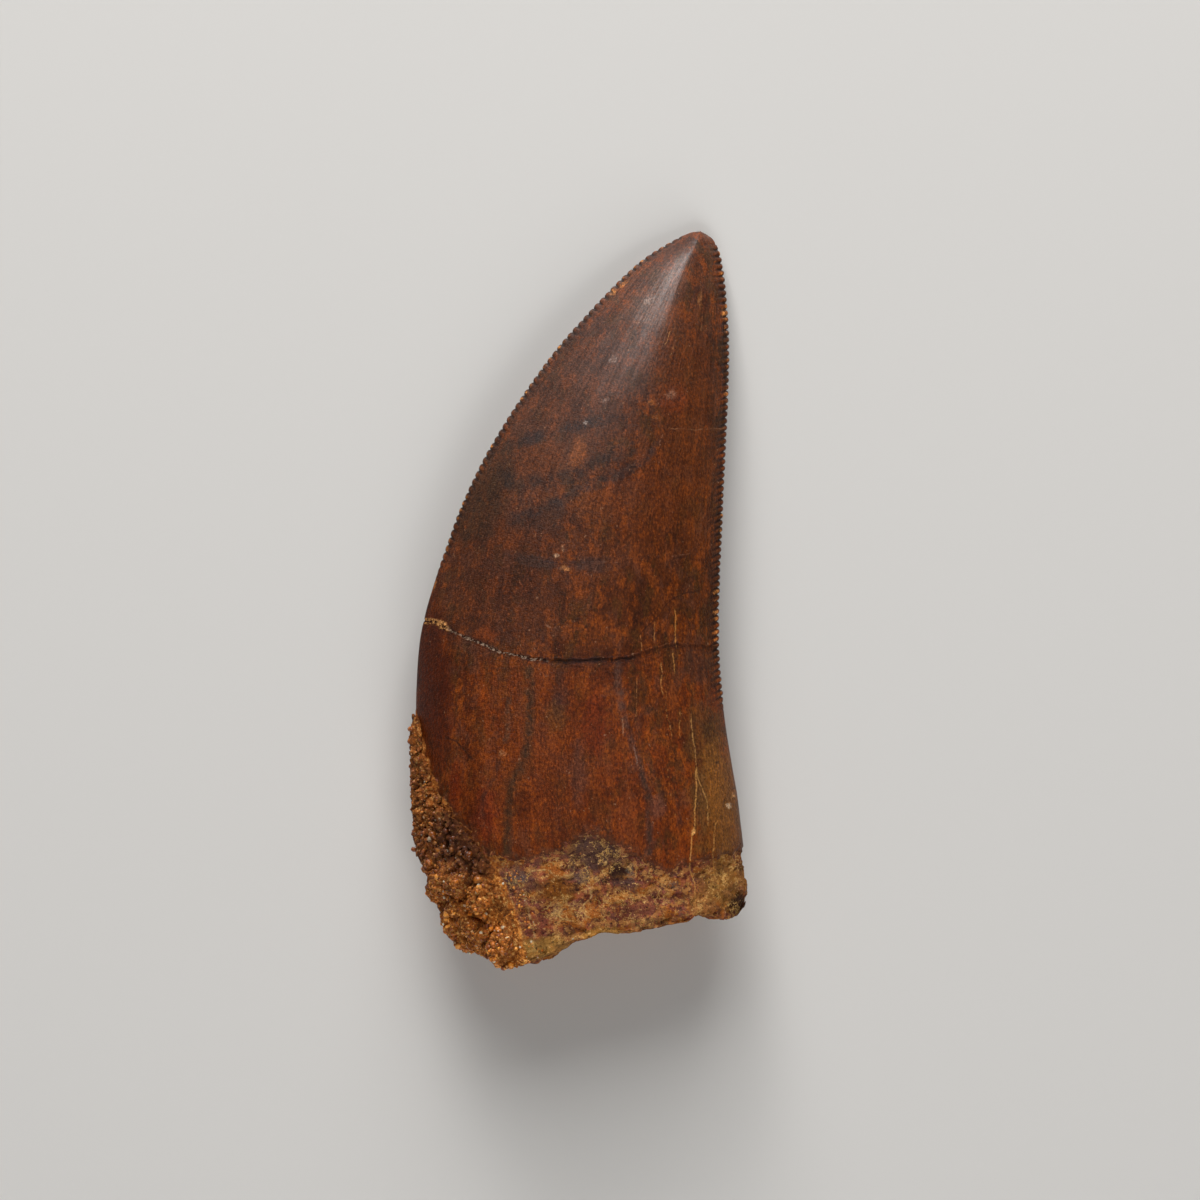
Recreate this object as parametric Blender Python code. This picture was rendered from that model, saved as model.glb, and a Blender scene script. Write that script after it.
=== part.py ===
"""A fossil tooth of a large meat-eating dinosaur, lying on one side.

The crown is a flattened blade with a convex front edge and a nearly straight back edge, both
saw-toothed. Below the enamel is a broken stub of root, and a crust of sandstone is still stuck
to its front corner. The tip points along +Y, the back edge faces +X, and +Z is up.
The shapes are worked out in millimetres and turned into metres at the end.
"""

import math

import bmesh
import bpy
from mathutils import Matrix, Vector, noise

MILLIMETRE = 0.001
GAP = 0.3

# The front and back edges, from the tip down to the break, in the plane of the blade
FRONT_EDGE = (
    (8.42, 25.54), (7.66, 25.40), (6.41, 24.77), (4.18, 23.32), (1.41, 20.61),
    (-1.65, 17.14), (-4.15, 13.66), (-6.30, 10.19), (-8.00, 6.72), (-9.29, 3.25),
    (-10.43, -0.23), (-11.06, -3.00), (-11.30, -6.48), (-11.27, -9.25), (-10.95, -12.73),
    (-10.47, -16.20), (-9.84, -18.98), (-8.87, -21.41), (-7.34, -23.70),
)
BACK_EDGE = (
    (8.42, 25.54), (8.91, 25.26), (9.39, 24.77), (9.84, 23.39), (10.23, 19.91),
    (10.30, 15.75), (10.02, 9.50), (9.70, 2.55), (9.57, -3.00), (9.88, -7.17),
    (10.36, -10.64), (10.85, -13.42), (11.20, -16.20), (11.48, -18.28), (11.79, -20.02),
    (11.61, -21.41),
)
# The broken end of the root, from the front corner to the back one
BREAK_LINE = (
    (-7.34, -23.70), (-5.54, -25.02), (-3.66, -25.23), (-2.07, -24.46), (-0.54, -23.70),
    (1.41, -23.14), (4.18, -23.00), (5.23, -22.73), (7.66, -22.38), (8.07, -21.82),
    (9.05, -21.89), (10.30, -22.31), (10.99, -22.10), (11.61, -21.41),
)
# The lower boundary of the enamel
ENAMEL_LINE = (
    (-12.00, -8.60), (-10.82, -11.13), (-9.70, -13.42), (-8.11, -15.50), (-6.23, -17.73),
    (-4.15, -18.14), (-1.72, -17.45), (-0.12, -16.61), (0.99, -15.99), (2.66, -17.03),
    (4.88, -18.35), (6.06, -18.91), (7.66, -18.14), (12.50, -17.40),
)
# The inner boundary of the crust, from the edge of the crown down past the break
CRUST_LINE = (
    (-11.90, -6.80), (-10.95, -8.60), (-10.60, -10.60), (-9.60, -13.30), (-8.11, -15.50),
    (-6.23, -17.73), (-4.98, -19.67), (-4.30, -21.75), (-3.20, -26.50),
)

# Thickness and lie of the blade: distance from the tip, half thickness above and below the
# edges, and the height of the edges above the surface that the tooth lies on
BLADE = (
    (0.0, 0.00, 0.00, 0.62),
    (0.3, 0.50, 0.42, 0.66),
    (1.0, 0.88, 0.74, 0.85),
    (3.0, 1.55, 1.50, 1.42),
    (7.0, 2.45, 2.05, 2.30),
    (12.0, 3.15, 2.70, 3.00),
    (20.0, 3.80, 3.40, 3.72),
    (30.0, 4.40, 4.25, 4.32),
    (38.0, 4.75, 5.05, 4.62),
    (50.0, 4.90, 5.30, 4.65),
)
# The rows sag towards the root in their middle, fully from this far from the tip
ROW_SAG = 1.8
SAG_REACH = 22.0
# Each face bulges as 1 - |share| ** power, raised to a second power
CROWN_FULLNESS = (2.0, 0.92)
UPPER_ROOT_FULLNESS = (2.7, 0.72)
UNDER_ROOT_FULLNESS = (3.3, 0.66)
# Near the tip the upper face is a ridge between two nearly flat slopes
RIDGE_FULLNESS = (1.35, 0.95)
RIDGE_REACH = 17.0
# The crown's section turns into the root's over this distance from the tip
ROOT_START = 26.0
ROOT_BLEND = 16.0
# A shallow hollow runs down the middle of the root: depth, share across, half width
ROOT_HOLLOW = 0.55
HOLLOW_SHARE = 0.52
HOLLOW_WIDTH = 0.13

# One row of the blade is one tooth of each saw edge
FRONT_PITCH = 0.555
BACK_PITCH = 0.472
CROWN_ROWS = 73
TIP_ROWS = (0.25, 0.6, 1.0, 1.5)
TIP_RINGS = len(TIP_ROWS)
ROOT_ROWS = 16
BREAK_ROWS = 8
# Rings drawn in from the break: share of its width and depth, and lift up the tooth
BREAK_RINGS = ((0.93, 0.80, -0.15), (0.72, 0.46, 0.10), (0.60, 0.26, 1.10))
DENTICLE = 0.15
FRONT_TEETH = 57
BACK_TEETH = 71
CRACK_ROW = 62
CRACK_DEPTH = 0.28
CRACK_END = 0.06

# The step down from the enamel, and the lumps of the root below it: lumps in 1 mm and weight
ENAMEL_STEP = 0.28
STEP_START = 0.2
STEP_RUN = 0.5
ROOT_LUMP = 0.30
ROOT_LUMPS = ((0.9, 1.0), (2.1, 0.6))
LUMP_START = 0.1
LUMP_RUN = 0.8
FINE_FACES_ABOVE = 1.0
UPPER_HEIGHT = 4.2
BED_HEIGHT = 0.02
SHARES_ACROSS = (0.02, 0.07, 0.16, 0.27, 0.39, 0.5, 0.61, 0.73, 0.84, 0.93, 0.98)

# The crust: where its block is cut off, the size of its faces, and its thickness on the tooth
CRUST_TOP = -5.0
CRUST_SIDE = 1.0
CRUST_FACE = 0.55
CRUST_THICKNESS = 0.8
CRUST_SLOPE = 1.5
CRUST_EDGE = 0.45
CRUST_RISE = 3.0
CRUST_UNDERCUT = 2.4
CRUST_SUNK = 0.5
CRUST_LIFT = 0.4
CRUST_LUMP = 0.8
CRUST_LUMPS = ((0.62, 1.0), (1.3, 0.4))
COBBLE_STEEPNESS = 2.2
SHARP_ANGLE = 38


def clear_scene():
    for item in list(bpy.data.objects):
        bpy.data.objects.remove(item)


def clamp(value, low=0.0, high=1.0):
    return max(low, min(high, value))


def ease(value):
    value = clamp(value)
    return value * value * (3 - 2 * value)


def smooth_line(points, steps=12):
    """Close points on the smooth curve through the given ones."""
    knots = [Vector(p) for p in points]
    knots = [2 * knots[0] - knots[1], *knots, 2 * knots[-1] - knots[-2]]
    line = []
    for a, b, c, d in zip(knots, knots[1:], knots[2:], knots[3:]):
        for k in range(steps):
            t = k / steps
            line.append(
                b
                + 0.5 * t * (c - a)
                + 0.5 * t * t * (2 * a - 5 * b + 4 * c - d)
                + 0.5 * t ** 3 * (3 * b - a - 3 * c + d)
            )
    return [*line, knots[-2]]


def line_length(line):
    return sum((b - a).length for a, b in zip(line, line[1:]))


def point_along(line, distance):
    """The point that is the given distance along a line from its start."""
    for a, b in zip(line, line[1:]):
        step = (b - a).length
        if distance <= step:
            return a.lerp(b, distance / step)
        distance -= step
    return line[-1].copy()


def height_on(line, x):
    """The y of a line that runs along +X, at x."""
    for (ax, ay), (bx, by) in zip(line, line[1:]):
        if x <= bx:
            return ay + (by - ay) * clamp((x - ax) / (bx - ax))
    return line[-1][1]


def inside_crust(x, y):
    """How far a place lies inside the boundary of the crust, or outside it as a negative."""
    nearest, side = 1e9, -1.0
    place = Vector((x, y))
    for a, b in zip(CRUST_LINE, CRUST_LINE[1:]):
        a, b = Vector(a), Vector(b)
        run = b - a
        share = clamp((place - a).dot(run) / run.length_squared)
        away = place - a.lerp(b, share)
        if away.length < nearest:
            nearest = away.length
            side = 1.0 if run.x * away.y - run.y * away.x < 0 else -1.0
    return nearest * side


def blade_at(distance):
    """Half thickness above and below the edges and the edges' height, at a distance from the tip."""
    for near, far in zip(BLADE, BLADE[1:]):
        if distance <= far[0]:
            share = (math.sqrt(distance) - math.sqrt(near[0])) / (
                math.sqrt(far[0]) - math.sqrt(near[0])
            )
            return [a + (b - a) * share for a, b in zip(near[1:], far[1:])]
    return BLADE[-1][1:]


class Blade:
    """The tooth's surface, by row from the tip and share across from front to back edge."""

    def __init__(self):
        self.front = smooth_line(FRONT_EDGE)
        self.back = smooth_line(BACK_EDGE)
        self.front_root = line_length(self.front) - CROWN_ROWS * FRONT_PITCH
        self.back_root = line_length(self.back) - CROWN_ROWS * BACK_PITCH

    def edges(self, row):
        crown = min(row, CROWN_ROWS)
        root = clamp((row - CROWN_ROWS) / ROOT_ROWS)
        return (
            point_along(self.front, crown * FRONT_PITCH + root * self.front_root),
            point_along(self.back, crown * BACK_PITCH + root * self.back_root),
        )

    def place(self, row, across, side):
        front, back = self.edges(row)
        tip = Vector(FRONT_EDGE[0])
        reach = ((front + back) / 2 - tip).length
        up, down, middle = blade_at(reach)
        root = ease((reach - ROOT_START) / ROOT_BLEND)
        ridge = 1 - ease(reach / RIDGE_REACH) if side > 0 else 0.0
        full = UPPER_ROOT_FULLNESS if side > 0 else UNDER_ROOT_FULLNESS
        power, blunt = (
            crown + (low - crown) * root + (high - crown) * ridge
            for crown, low, high in zip(CROWN_FULLNESS, full, RIDGE_FULLNESS)
        )
        bulge = max(0.0, 1 - abs(2 * across - 1) ** power) ** blunt
        off_hollow = (across - HOLLOW_SHARE) / HOLLOW_WIDTH
        hollow = ROOT_HOLLOW * root * math.exp(-(off_hollow ** 2))
        point = front.lerp(back, across)
        point.y -= ROW_SAG * ease(reach / SAG_REACH) * 4 * across * (1 - across)
        broken = ease((row - CROWN_ROWS - ROOT_ROWS + BREAK_ROWS) / BREAK_ROWS)
        if broken > 0:
            end = self.place_end(across)
            point.y += (height_on(BREAK_LINE, point.x) - end) * broken
        if side > 0:
            height = middle + up * bulge - 0.5 * hollow
        else:
            height = max(0.0, middle - down * bulge + hollow)
        return Vector((point.x, point.y, height))

    def place_end(self, across):
        """The y of the last row where no break has shaped it."""
        front, back = self.front[-1], self.back[-1]
        return front.lerp(back, across).y - ROW_SAG * 4 * across * (1 - across)


def ring_places(blade, row):
    """One closed ring round the blade: front edge, upper face, back edge, under face."""
    upper = [blade.place(row, a, 1) for a in (0.0, *SHARES_ACROSS, 1.0)]
    under = [blade.place(row, a, -1) for a in reversed(SHARES_ACROSS)]
    return [*upper, *under]


def shrunk(places, width, depth, lift):
    """A ring drawn in towards its own middle line and moved up the tooth."""
    middle = sum(places, Vector()) / len(places)
    return [
        Vector((
            middle.x + (p.x - middle.x) * width,
            p.y + lift,
            middle.z + (p.z - middle.z) * depth,
        ))
        for p in places
    ]


def join_ring(bm, verts):
    return [bm.edges.new((a, b)) for a, b in zip(verts, verts[1:] + verts[:1])]


def loft_tooth():
    """The plain tooth: rings from tip to break, joined, with a shallow pulp hollow in the break."""
    blade = Blade()
    rows = [*TIP_ROWS, *range(2, CROWN_ROWS + ROOT_ROWS + 1)]
    rings = [ring_places(blade, row) for row in rows]
    last = rings[-1]
    rings += [shrunk(last, *ring) for ring in BREAK_RINGS]
    bm = bmesh.new()
    corners = [[bm.verts.new(place) for place in places] for places in rings]
    loops = [join_ring(bm, verts) for verts in corners]
    for near, far in zip(loops, loops[1:]):
        bmesh.ops.bridge_loops(bm, edges=near + far)
    tip = bm.verts.new(blade.place(0.0, 0.0, 1))
    for edge in loops[0]:
        bm.faces.new((*edge.verts, tip))
    bmesh.ops.holes_fill(bm, edges=loops[-1])
    bmesh.ops.recalc_face_normals(bm, faces=bm.faces)
    return bm, corners


def cut_saw_edges(bm, rings):
    """Each row's edge gets one tooth of the saw: its middle stands proud of its two ends."""
    crown = rings[TIP_RINGS:TIP_RINGS + CROWN_ROWS - 1]
    edges = []
    for corner, teeth in ((0, FRONT_TEETH), (len(SHARES_ACROSS) + 1, BACK_TEETH)):
        line = [ring[corner] for ring in crown[:teeth + 1]]
        edges += [bm.edges.get(pair) for pair in zip(line, line[1:])]
    made = bmesh.ops.subdivide_edges(bm, edges=edges, cuts=1, use_single_edge=True)
    bm.normal_update()
    for crest in made["geom_inner"]:
        if isinstance(crest, bmesh.types.BMVert):
            crest.co += crest.normal * DENTICLE


def roughen_root(bm):
    """Extra faces below the enamel, then the enamel's step, the crack and the root's lumps."""
    band = [
        e for e in bm.edges
        if all(
            v.co.y < height_on(ENAMEL_LINE, v.co.x) + FINE_FACES_ABOVE and v.co.z > UPPER_HEIGHT
            for v in e.verts
        )
    ]
    bmesh.ops.subdivide_edges(bm, edges=band, cuts=1, use_grid_fill=True)
    bm.normal_update()
    moves = {}
    for vert in bm.verts:
        x, y, z = vert.co
        below = height_on(ENAMEL_LINE, x) - y
        if below <= -STEP_START or z < BED_HEIGHT:
            continue
        depth = ENAMEL_STEP * ease((below + STEP_START) / STEP_RUN)
        lump = sum(weight * noise.noise(vert.co * pitch) for pitch, weight in ROOT_LUMPS)
        rough = ease((below - LUMP_START) / LUMP_RUN)
        moves[vert] = vert.normal * (ROOT_LUMP * lump * rough - depth)
    for vert, move in moves.items():
        vert.co += move
        vert.co.z = max(vert.co.z, 0.0)


def open_crack(rings):
    """The main crack across the upper face follows one row of the blade."""
    upper = rings[TIP_RINGS + CRACK_ROW - 2][:len(SHARES_ACROSS) + 2]
    for vert, share in zip(upper, (0.0, *SHARES_ACROSS, 1.0)):
        vert.co.z -= CRACK_DEPTH * math.sin(math.pi * clamp(share, CRACK_END, 1 - CRACK_END))


def tooth_mesh():
    bm, rings = loft_tooth()
    open_crack(rings)
    cut_saw_edges(bm, rings)
    roughen_root(bm)
    bmesh.ops.triangulate(bm, faces=bm.faces)
    return bm


def cobbles(place, pitch):
    """Rounded lumps, each about one over pitch wide: from -0.5 between them to 0.5 on top."""
    nearest = noise.voronoi(place * pitch)[0][0]
    return 0.5 - min(1.0, nearest * nearest * COBBLE_STEEPNESS)


def lower_end(tooth):
    """The part of the tooth under and round the crust, cut off flat above and beside it."""
    bm = tooth.copy()
    for place, away in (((0, CRUST_TOP, 0), (0, 1, 0)), ((CRUST_SIDE, 0, 0), (1, 0, 0))):
        cut = bmesh.ops.bisect_plane(
            bm,
            geom=[*bm.verts, *bm.edges, *bm.faces],
            plane_co=place,
            plane_no=away,
            clear_outer=True,
        )
        rim = [item for item in cut["geom_cut"] if isinstance(item, bmesh.types.BMEdge)]
        bmesh.ops.holes_fill(bm, edges=rim)
    bmesh.ops.triangulate(bm, faces=bm.faces)
    return bm


def even_faces(bm, size):
    """The same closed shape in small faces of one size."""
    mesh = bpy.data.meshes.new("crust_form")
    bm.to_mesh(mesh)
    bm.free()
    form = bpy.data.objects.new("crust_form", mesh)
    bpy.context.scene.collection.objects.link(form)
    remesh = form.modifiers.new("even_faces", "REMESH")
    remesh.mode = "VOXEL"
    remesh.voxel_size = size
    evaluated = form.evaluated_get(bpy.context.evaluated_depsgraph_get())
    even = bmesh.new()
    even.from_mesh(evaluated.to_mesh())
    bpy.data.objects.remove(form)
    return even


def crust_block(tooth):
    """The tooth's lower end, swollen where the crust covers it and drawn in elsewhere."""
    bm = even_faces(lower_end(tooth), CRUST_FACE)
    bm.normal_update()
    moves = {}
    for vert in bm.verts:
        underneath = clamp(-2.0 * vert.normal.z)
        deep = inside_crust(vert.co.x, vert.co.y) - CRUST_UNDERCUT * underneath
        lump = sum(weight * cobbles(vert.co, pitch) for pitch, weight in CRUST_LUMPS)
        thick = GAP + CRUST_THICKNESS * ease(CRUST_EDGE + deep / CRUST_RISE) + CRUST_LUMP * lump
        moves[vert] = vert.normal * clamp(GAP + CRUST_SLOPE * deep, -CRUST_SUNK, thick)
    for vert, move in moves.items():
        vert.co += move
        vert.co.z = max(vert.co.z, CRUST_LIFT)
    bmesh.ops.triangulate(bm, faces=bm.faces)
    return bm


def carve(block, cutter):
    """Cuts one object out of another, and keeps the cutter as a hidden guide."""
    cutter.hide_render = True
    cutter.display_type = "WIRE"
    cut = block.modifiers.new("tooth_bed", "BOOLEAN")
    cut.operation = "DIFFERENCE"
    cut.solver = "EXACT"
    cut.object = cutter


def swollen(tooth, by):
    bm = tooth.copy()
    bm.normal_update()
    moves = {v: v.normal * by for v in bm.verts}
    for vert, move in moves.items():
        vert.co += move
    return bm


def make_material(name, colour, roughness):
    material = bpy.data.materials.new(name)
    material.use_nodes = True
    shader = material.node_tree.nodes["Principled BSDF"]
    shader.inputs["Base Color"].default_value = (*colour, 1)
    shader.inputs["Roughness"].default_value = roughness
    shader.inputs["Metallic"].default_value = 0.0
    return material


def make_object(name, bm, material):
    mesh = bpy.data.meshes.new(name)
    bm.to_mesh(mesh)
    bm.free()
    mesh.transform(Matrix.Scale(MILLIMETRE, 4))
    mesh.materials.append(material)
    mesh.shade_smooth()
    mesh.set_sharp_from_angle(angle=math.radians(SHARP_ANGLE))
    item = bpy.data.objects.new(name, mesh)
    bpy.context.scene.collection.objects.link(item)
    return item


def centre_on_origin(shown, guides):
    """Moves the meshes so that the origin is the middle of the whole fossil's underside."""
    graph = bpy.context.evaluated_depsgraph_get()
    places = [v.co.copy() for item in shown for v in item.evaluated_get(graph).data.vertices]
    low = Vector(min(p[axis] for p in places) for axis in range(3))
    high = Vector(max(p[axis] for p in places) for axis in range(3))
    move = Vector((-(low.x + high.x) / 2, -(low.y + high.y) / 2, -low.z))
    for item in (*shown, *guides):
        item.data.transform(Matrix.Translation(move))


def main():
    clear_scene()
    enamel = make_material("fossil_enamel", (0.16, 0.055, 0.025), 0.42)
    sandstone = make_material("sandstone", (0.42, 0.22, 0.06), 0.9)
    tooth = tooth_mesh()
    crust = make_object("sandstone_matrix", crust_block(tooth), sandstone)
    bed = make_object("bed_guide", swollen(tooth, GAP), sandstone)
    tooth = make_object("tooth", tooth, enamel)
    carve(crust, bed)
    centre_on_origin((tooth, crust), (bed,))


main()
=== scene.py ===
"""The looks of a fossil tooth of a meat-eating dinosaur, lying on one side.

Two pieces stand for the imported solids: the tooth, with its saw edges, cracks, enamel and broken
root, and the sandstone crust on its front corner. A third piece is the loose sand on them.
Shapes are worked out in millimetres in the plane of the blade: +Y to the tip, +X to the back
edge, +Z up. They are the solid's own driving lines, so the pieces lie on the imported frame.
"""

import math

import bmesh
import bpy
import numpy as np
from mathutils import Matrix, Vector, noise
from mathutils.bvhtree import BVHTree


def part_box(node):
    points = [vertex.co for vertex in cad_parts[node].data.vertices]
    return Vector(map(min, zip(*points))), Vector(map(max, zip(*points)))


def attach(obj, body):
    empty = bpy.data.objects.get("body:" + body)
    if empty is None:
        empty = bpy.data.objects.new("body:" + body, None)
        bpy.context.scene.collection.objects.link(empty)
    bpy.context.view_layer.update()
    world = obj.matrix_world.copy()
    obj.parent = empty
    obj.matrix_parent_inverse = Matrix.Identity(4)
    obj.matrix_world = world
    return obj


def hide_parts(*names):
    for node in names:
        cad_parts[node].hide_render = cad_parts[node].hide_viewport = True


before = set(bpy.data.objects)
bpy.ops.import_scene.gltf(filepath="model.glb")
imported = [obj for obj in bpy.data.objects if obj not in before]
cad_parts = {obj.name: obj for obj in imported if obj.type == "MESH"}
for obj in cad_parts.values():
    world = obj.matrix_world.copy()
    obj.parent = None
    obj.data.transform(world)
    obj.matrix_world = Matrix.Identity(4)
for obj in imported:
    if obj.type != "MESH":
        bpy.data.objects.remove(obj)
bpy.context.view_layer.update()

MM = 0.001

# The front and back edges, from the tip down to the break
FRONT_EDGE = (
    (8.42, 25.54), (7.66, 25.40), (6.41, 24.77), (4.18, 23.32), (1.41, 20.61),
    (-1.65, 17.14), (-4.15, 13.66), (-6.30, 10.19), (-8.00, 6.72), (-9.29, 3.25),
    (-10.43, -0.23), (-11.06, -3.00), (-11.30, -6.48), (-11.27, -9.25), (-10.95, -12.73),
    (-10.47, -16.20), (-9.84, -18.98), (-8.87, -21.41), (-7.34, -23.70),
)
BACK_EDGE = (
    (8.42, 25.54), (8.91, 25.26), (9.39, 24.77), (9.84, 23.39), (10.23, 19.91),
    (10.30, 15.75), (10.02, 9.50), (9.70, 2.55), (9.57, -3.00), (9.88, -7.17),
    (10.36, -10.64), (10.85, -13.42), (11.20, -16.20), (11.48, -18.28), (11.79, -20.02),
    (11.61, -21.41),
)
# The broken end of the root, and the lower boundary of the enamel
BREAK_LINE = (
    (-7.34, -23.70), (-5.54, -25.02), (-3.66, -25.23), (-2.07, -24.46), (-0.54, -23.70),
    (1.41, -23.14), (4.18, -23.00), (5.23, -22.73), (7.66, -22.38), (8.07, -21.82),
    (9.05, -21.89), (10.30, -22.31), (10.99, -22.10), (11.61, -21.41),
)
ENAMEL_LINE = (
    (-12.00, -8.60), (-10.82, -11.13), (-9.70, -13.42), (-8.11, -15.50), (-6.23, -17.73),
    (-4.15, -18.14), (-1.72, -17.45), (-0.12, -16.61), (0.99, -15.99), (2.66, -17.03),
    (4.88, -18.35), (6.06, -18.91), (7.66, -18.14), (12.50, -17.40),
)
# The inner boundary of the crust, from the edge of the crown down past the break
CRUST_LINE = (
    (-11.90, -6.80), (-10.95, -8.60), (-10.60, -10.60), (-9.60, -13.30), (-8.11, -15.50),
    (-6.23, -17.73), (-4.98, -19.67), (-4.30, -21.75), (-3.20, -26.50),
)
# Distance from the tip, half thickness above and below the edges, and height of the edges
BLADE = (
    (0.0, 0.00, 0.00, 0.62),
    (0.3, 0.50, 0.42, 0.66),
    (1.0, 0.88, 0.74, 0.85),
    (3.0, 1.55, 1.50, 1.42),
    (7.0, 2.45, 2.05, 2.30),
    (12.0, 3.15, 2.70, 3.00),
    (20.0, 3.80, 3.40, 3.72),
    (30.0, 4.40, 4.25, 4.32),
    (38.0, 4.75, 5.05, 4.62),
    (50.0, 4.90, 5.30, 4.65),
)
ROW_SAG = 1.8
SAG_REACH = 22.0
# The crown's section turns into the root's from this distance from the tip, over this length
ROOT_START = 26.0
ROOT_BLEND = 16.0
CROWN_FULLNESS = (2.0, 0.92)
TIP_FULLNESS = (1.35, 0.95)
TIP_REACH = 17.0
UPPER_ROOT_FULLNESS = (2.7, 0.72)
UNDER_ROOT_FULLNESS = (3.3, 0.66)
# The shallow hollow along the root: depth, share across and width
ROOT_HOLLOW = 0.55
HOLLOW_SHARE = 0.52
HOLLOW_WIDTH = 0.13
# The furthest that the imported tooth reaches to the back
BACK_REACH = 11.672
FRONT_PITCH = 0.555
BACK_PITCH = 0.472
CROWN_ROWS = 73
ROOT_ROWS = 16
BREAK_ROWS = 8
LAST_ROW = CROWN_ROWS + ROOT_ROWS
# Rings drawn in from the break: width, depth and lift up the tooth
BREAK_RINGS = ((1.0, 1.0, 0.0), (0.93, 0.80, -0.15), (0.72, 0.46, 0.10), (0.60, 0.26, 1.10))

# Fineness of the tooth's mesh
UPPER_COLUMNS = 98
UNDER_COLUMNS = 58
STATION_ROWS = 3
ROW_CUTS = 17
TIP_STATIONS = (0.08, 0.25, 0.5, 1.0)

# Saw edges
GROOVE_DEPTH = 0.09
GROOVE_SLANT = 0.55
# First and last row, height of the teeth, and reach of the grooves onto the face
FRONT_SAW = (1.5, 57.0, 0.05, 0.32)
BACK_SAW = (2.0, 73.0, 0.11, 0.62)
# Rows over which the first and the last teeth fade, and widths of a tooth and of its worn crest
SAW_FADES = (3, 4)
SAW_WIDTH = 0.2
CREST_WIDTH = 0.16

# Cracks of the crown, on its upper face
MAIN_CRACK = (
    (-10.82, -1.68), (-9.91, -1.75), (-9.22, -2.17), (-8.04, -2.73), (-6.65, -3.28),
    (-5.47, -3.77), (-3.73, -4.18), (-2.20, -4.39), (-0.61, -4.43), (0.71, -4.32),
    (2.52, -4.32), (3.63, -4.18), (4.81, -3.77), (6.61, -3.28), (7.73, -3.39), (9.74, -3.56),
)
BRANCH_CRACK = (
    (3.91, -3.90), (4.00, -3.00), (4.25, -2.45), (5.02, -1.75), (5.57, -1.06), (6.13, -0.36),
    (6.96, 0.12), (8.35, 0.47),
)
CRACK_DEPTH = 0.12
BRANCH_DEPTH = 0.042
CRACK_WIDTH = 0.085
# Past this place across the tooth the main crack fades to a hairline, over this length
CRACK_FADES = 3.4
CRACK_FADE_LENGTH = 1.2
# The enamel stands this far above the root
ENAMEL_STEP = 0.18
# Lumps in 1 mm, place in the noise and share of the lumps on the root, and their height
ROOT_LUMPS = ((0.9, 3.0, 1.0), (2.1, 5.0, 0.6), (4.6, 9.0, 0.45))
ROOT_RELIEF = 0.165
ROOT_PITS = 0.55
# The crust's even small faces, and the lumps in 1 mm and heights of its lumps
CRUST_VOXEL = 0.095
CRUST_LUMPS = ((1.1, 0.3), (2.3, 0.35), (4.6, 0.3))
# How far the crust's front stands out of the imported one, by height up the tooth
CRUST_PROUD = ((-21.0, 0.28), (-19.0, 0.46))
# Above this height the crust is an even strip along the front edge, after a short blend
STRIP_START = -19.5
STRIP_BLEND = 2.0
# Height up the tooth, and how far the strip reaches out of the edge there
STRIP_REACH = (
    (-20.0, 1.25), (-18.5, 1.20), (-17.0, 1.10), (-15.0, 0.98), (-13.0, 0.80), (-11.5, 0.66),
    (-10.0, 0.57), (-9.0, 0.44), (-7.5, 0.20),
)
# The crust's distances from the tooth, as packed and as drawn onto it
INNER_SIDE = -0.04  # just below the tooth's surface
CEMENT_FROM = (0.0, 0.40, 0.62, 1.30, 9.0)
CEMENT_TO = (INNER_SIDE, INNER_SIDE, 0.30, 1.30, 9.0)
# Coarse grains lie on the crust below this height up the tooth
COARSE_SAND_TOP = -16.0
# Share of a grain's size that is sunk in its bed
GRAIN_SUNK = 0.42
# Streaks in the enamel run along the rows' shares across, as if every row were this wide
FIBRE_SPREAD = 20.0


def ease(value):
    value = np.clip(value, 0.0, 1.0)
    return value * value * (3 - 2 * value)


def smooth_line(points, steps=12):
    """Close points on the smooth curve through the given ones."""
    knots = np.array(points)
    knots = np.vstack([2 * knots[:1] - knots[1:2], knots, 2 * knots[-1:] - knots[-2:-1]])
    t = (np.arange(steps) / steps)[:, None]
    runs = [
        b
        + 0.5 * t * (c - a)
        + 0.5 * t * t * (2 * a - 5 * b + 4 * c - d)
        + 0.5 * t ** 3 * (3 * b - a - 3 * c + d)
        for a, b, c, d in zip(knots, knots[1:], knots[2:], knots[3:])
    ]
    return np.vstack([*runs, knots[-2:-1]])


def lengths_along(line):
    return np.concatenate([[0.0], np.cumsum(np.hypot(*np.diff(line, axis=0).T))])


def point_along(line, distance):
    """The points that are the given distances along a line from its start."""
    run = lengths_along(line)
    return np.stack([np.interp(distance, run, line[:, axis]) for axis in range(2)], axis=1)


def away_from(line, x, y):
    """How far places are from a line: positive on its left, negative on its right."""
    nearest = np.full(len(x), np.inf)
    side = np.ones(len(x))
    for (ax, ay), (bx, by) in zip(line, line[1:]):
        run_x, run_y = bx - ax, by - ay
        share = ((x - ax) * run_x + (y - ay) * run_y) / (run_x ** 2 + run_y ** 2)
        share = np.clip(share, 0.0, 1.0)
        off_x, off_y = x - ax - run_x * share, y - ay - run_y * share
        far = np.hypot(off_x, off_y)
        nearer = far < nearest
        nearest = np.where(nearer, far, nearest)
        side = np.where(nearer, np.where(run_x * off_y < run_y * off_x, -1.0, 1.0), side)
    return nearest * side


def rough(points, pitch, start=0.0):
    """Smooth noise between about -1 and 1 at each point, with the given number of lumps in 1 mm."""
    return np.array([noise.noise(Vector(p) * pitch + Vector((start, 0, 0))) for p in points])


def cobbles(points, pitch):
    """Rounded lumps, each about one over pitch wide: from -0.5 between them to 0.5 on top."""
    near = np.array([noise.voronoi(Vector(p) * pitch)[0][0] for p in points])
    return 0.5 - np.minimum(1.0, near * near * 2.2)


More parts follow.
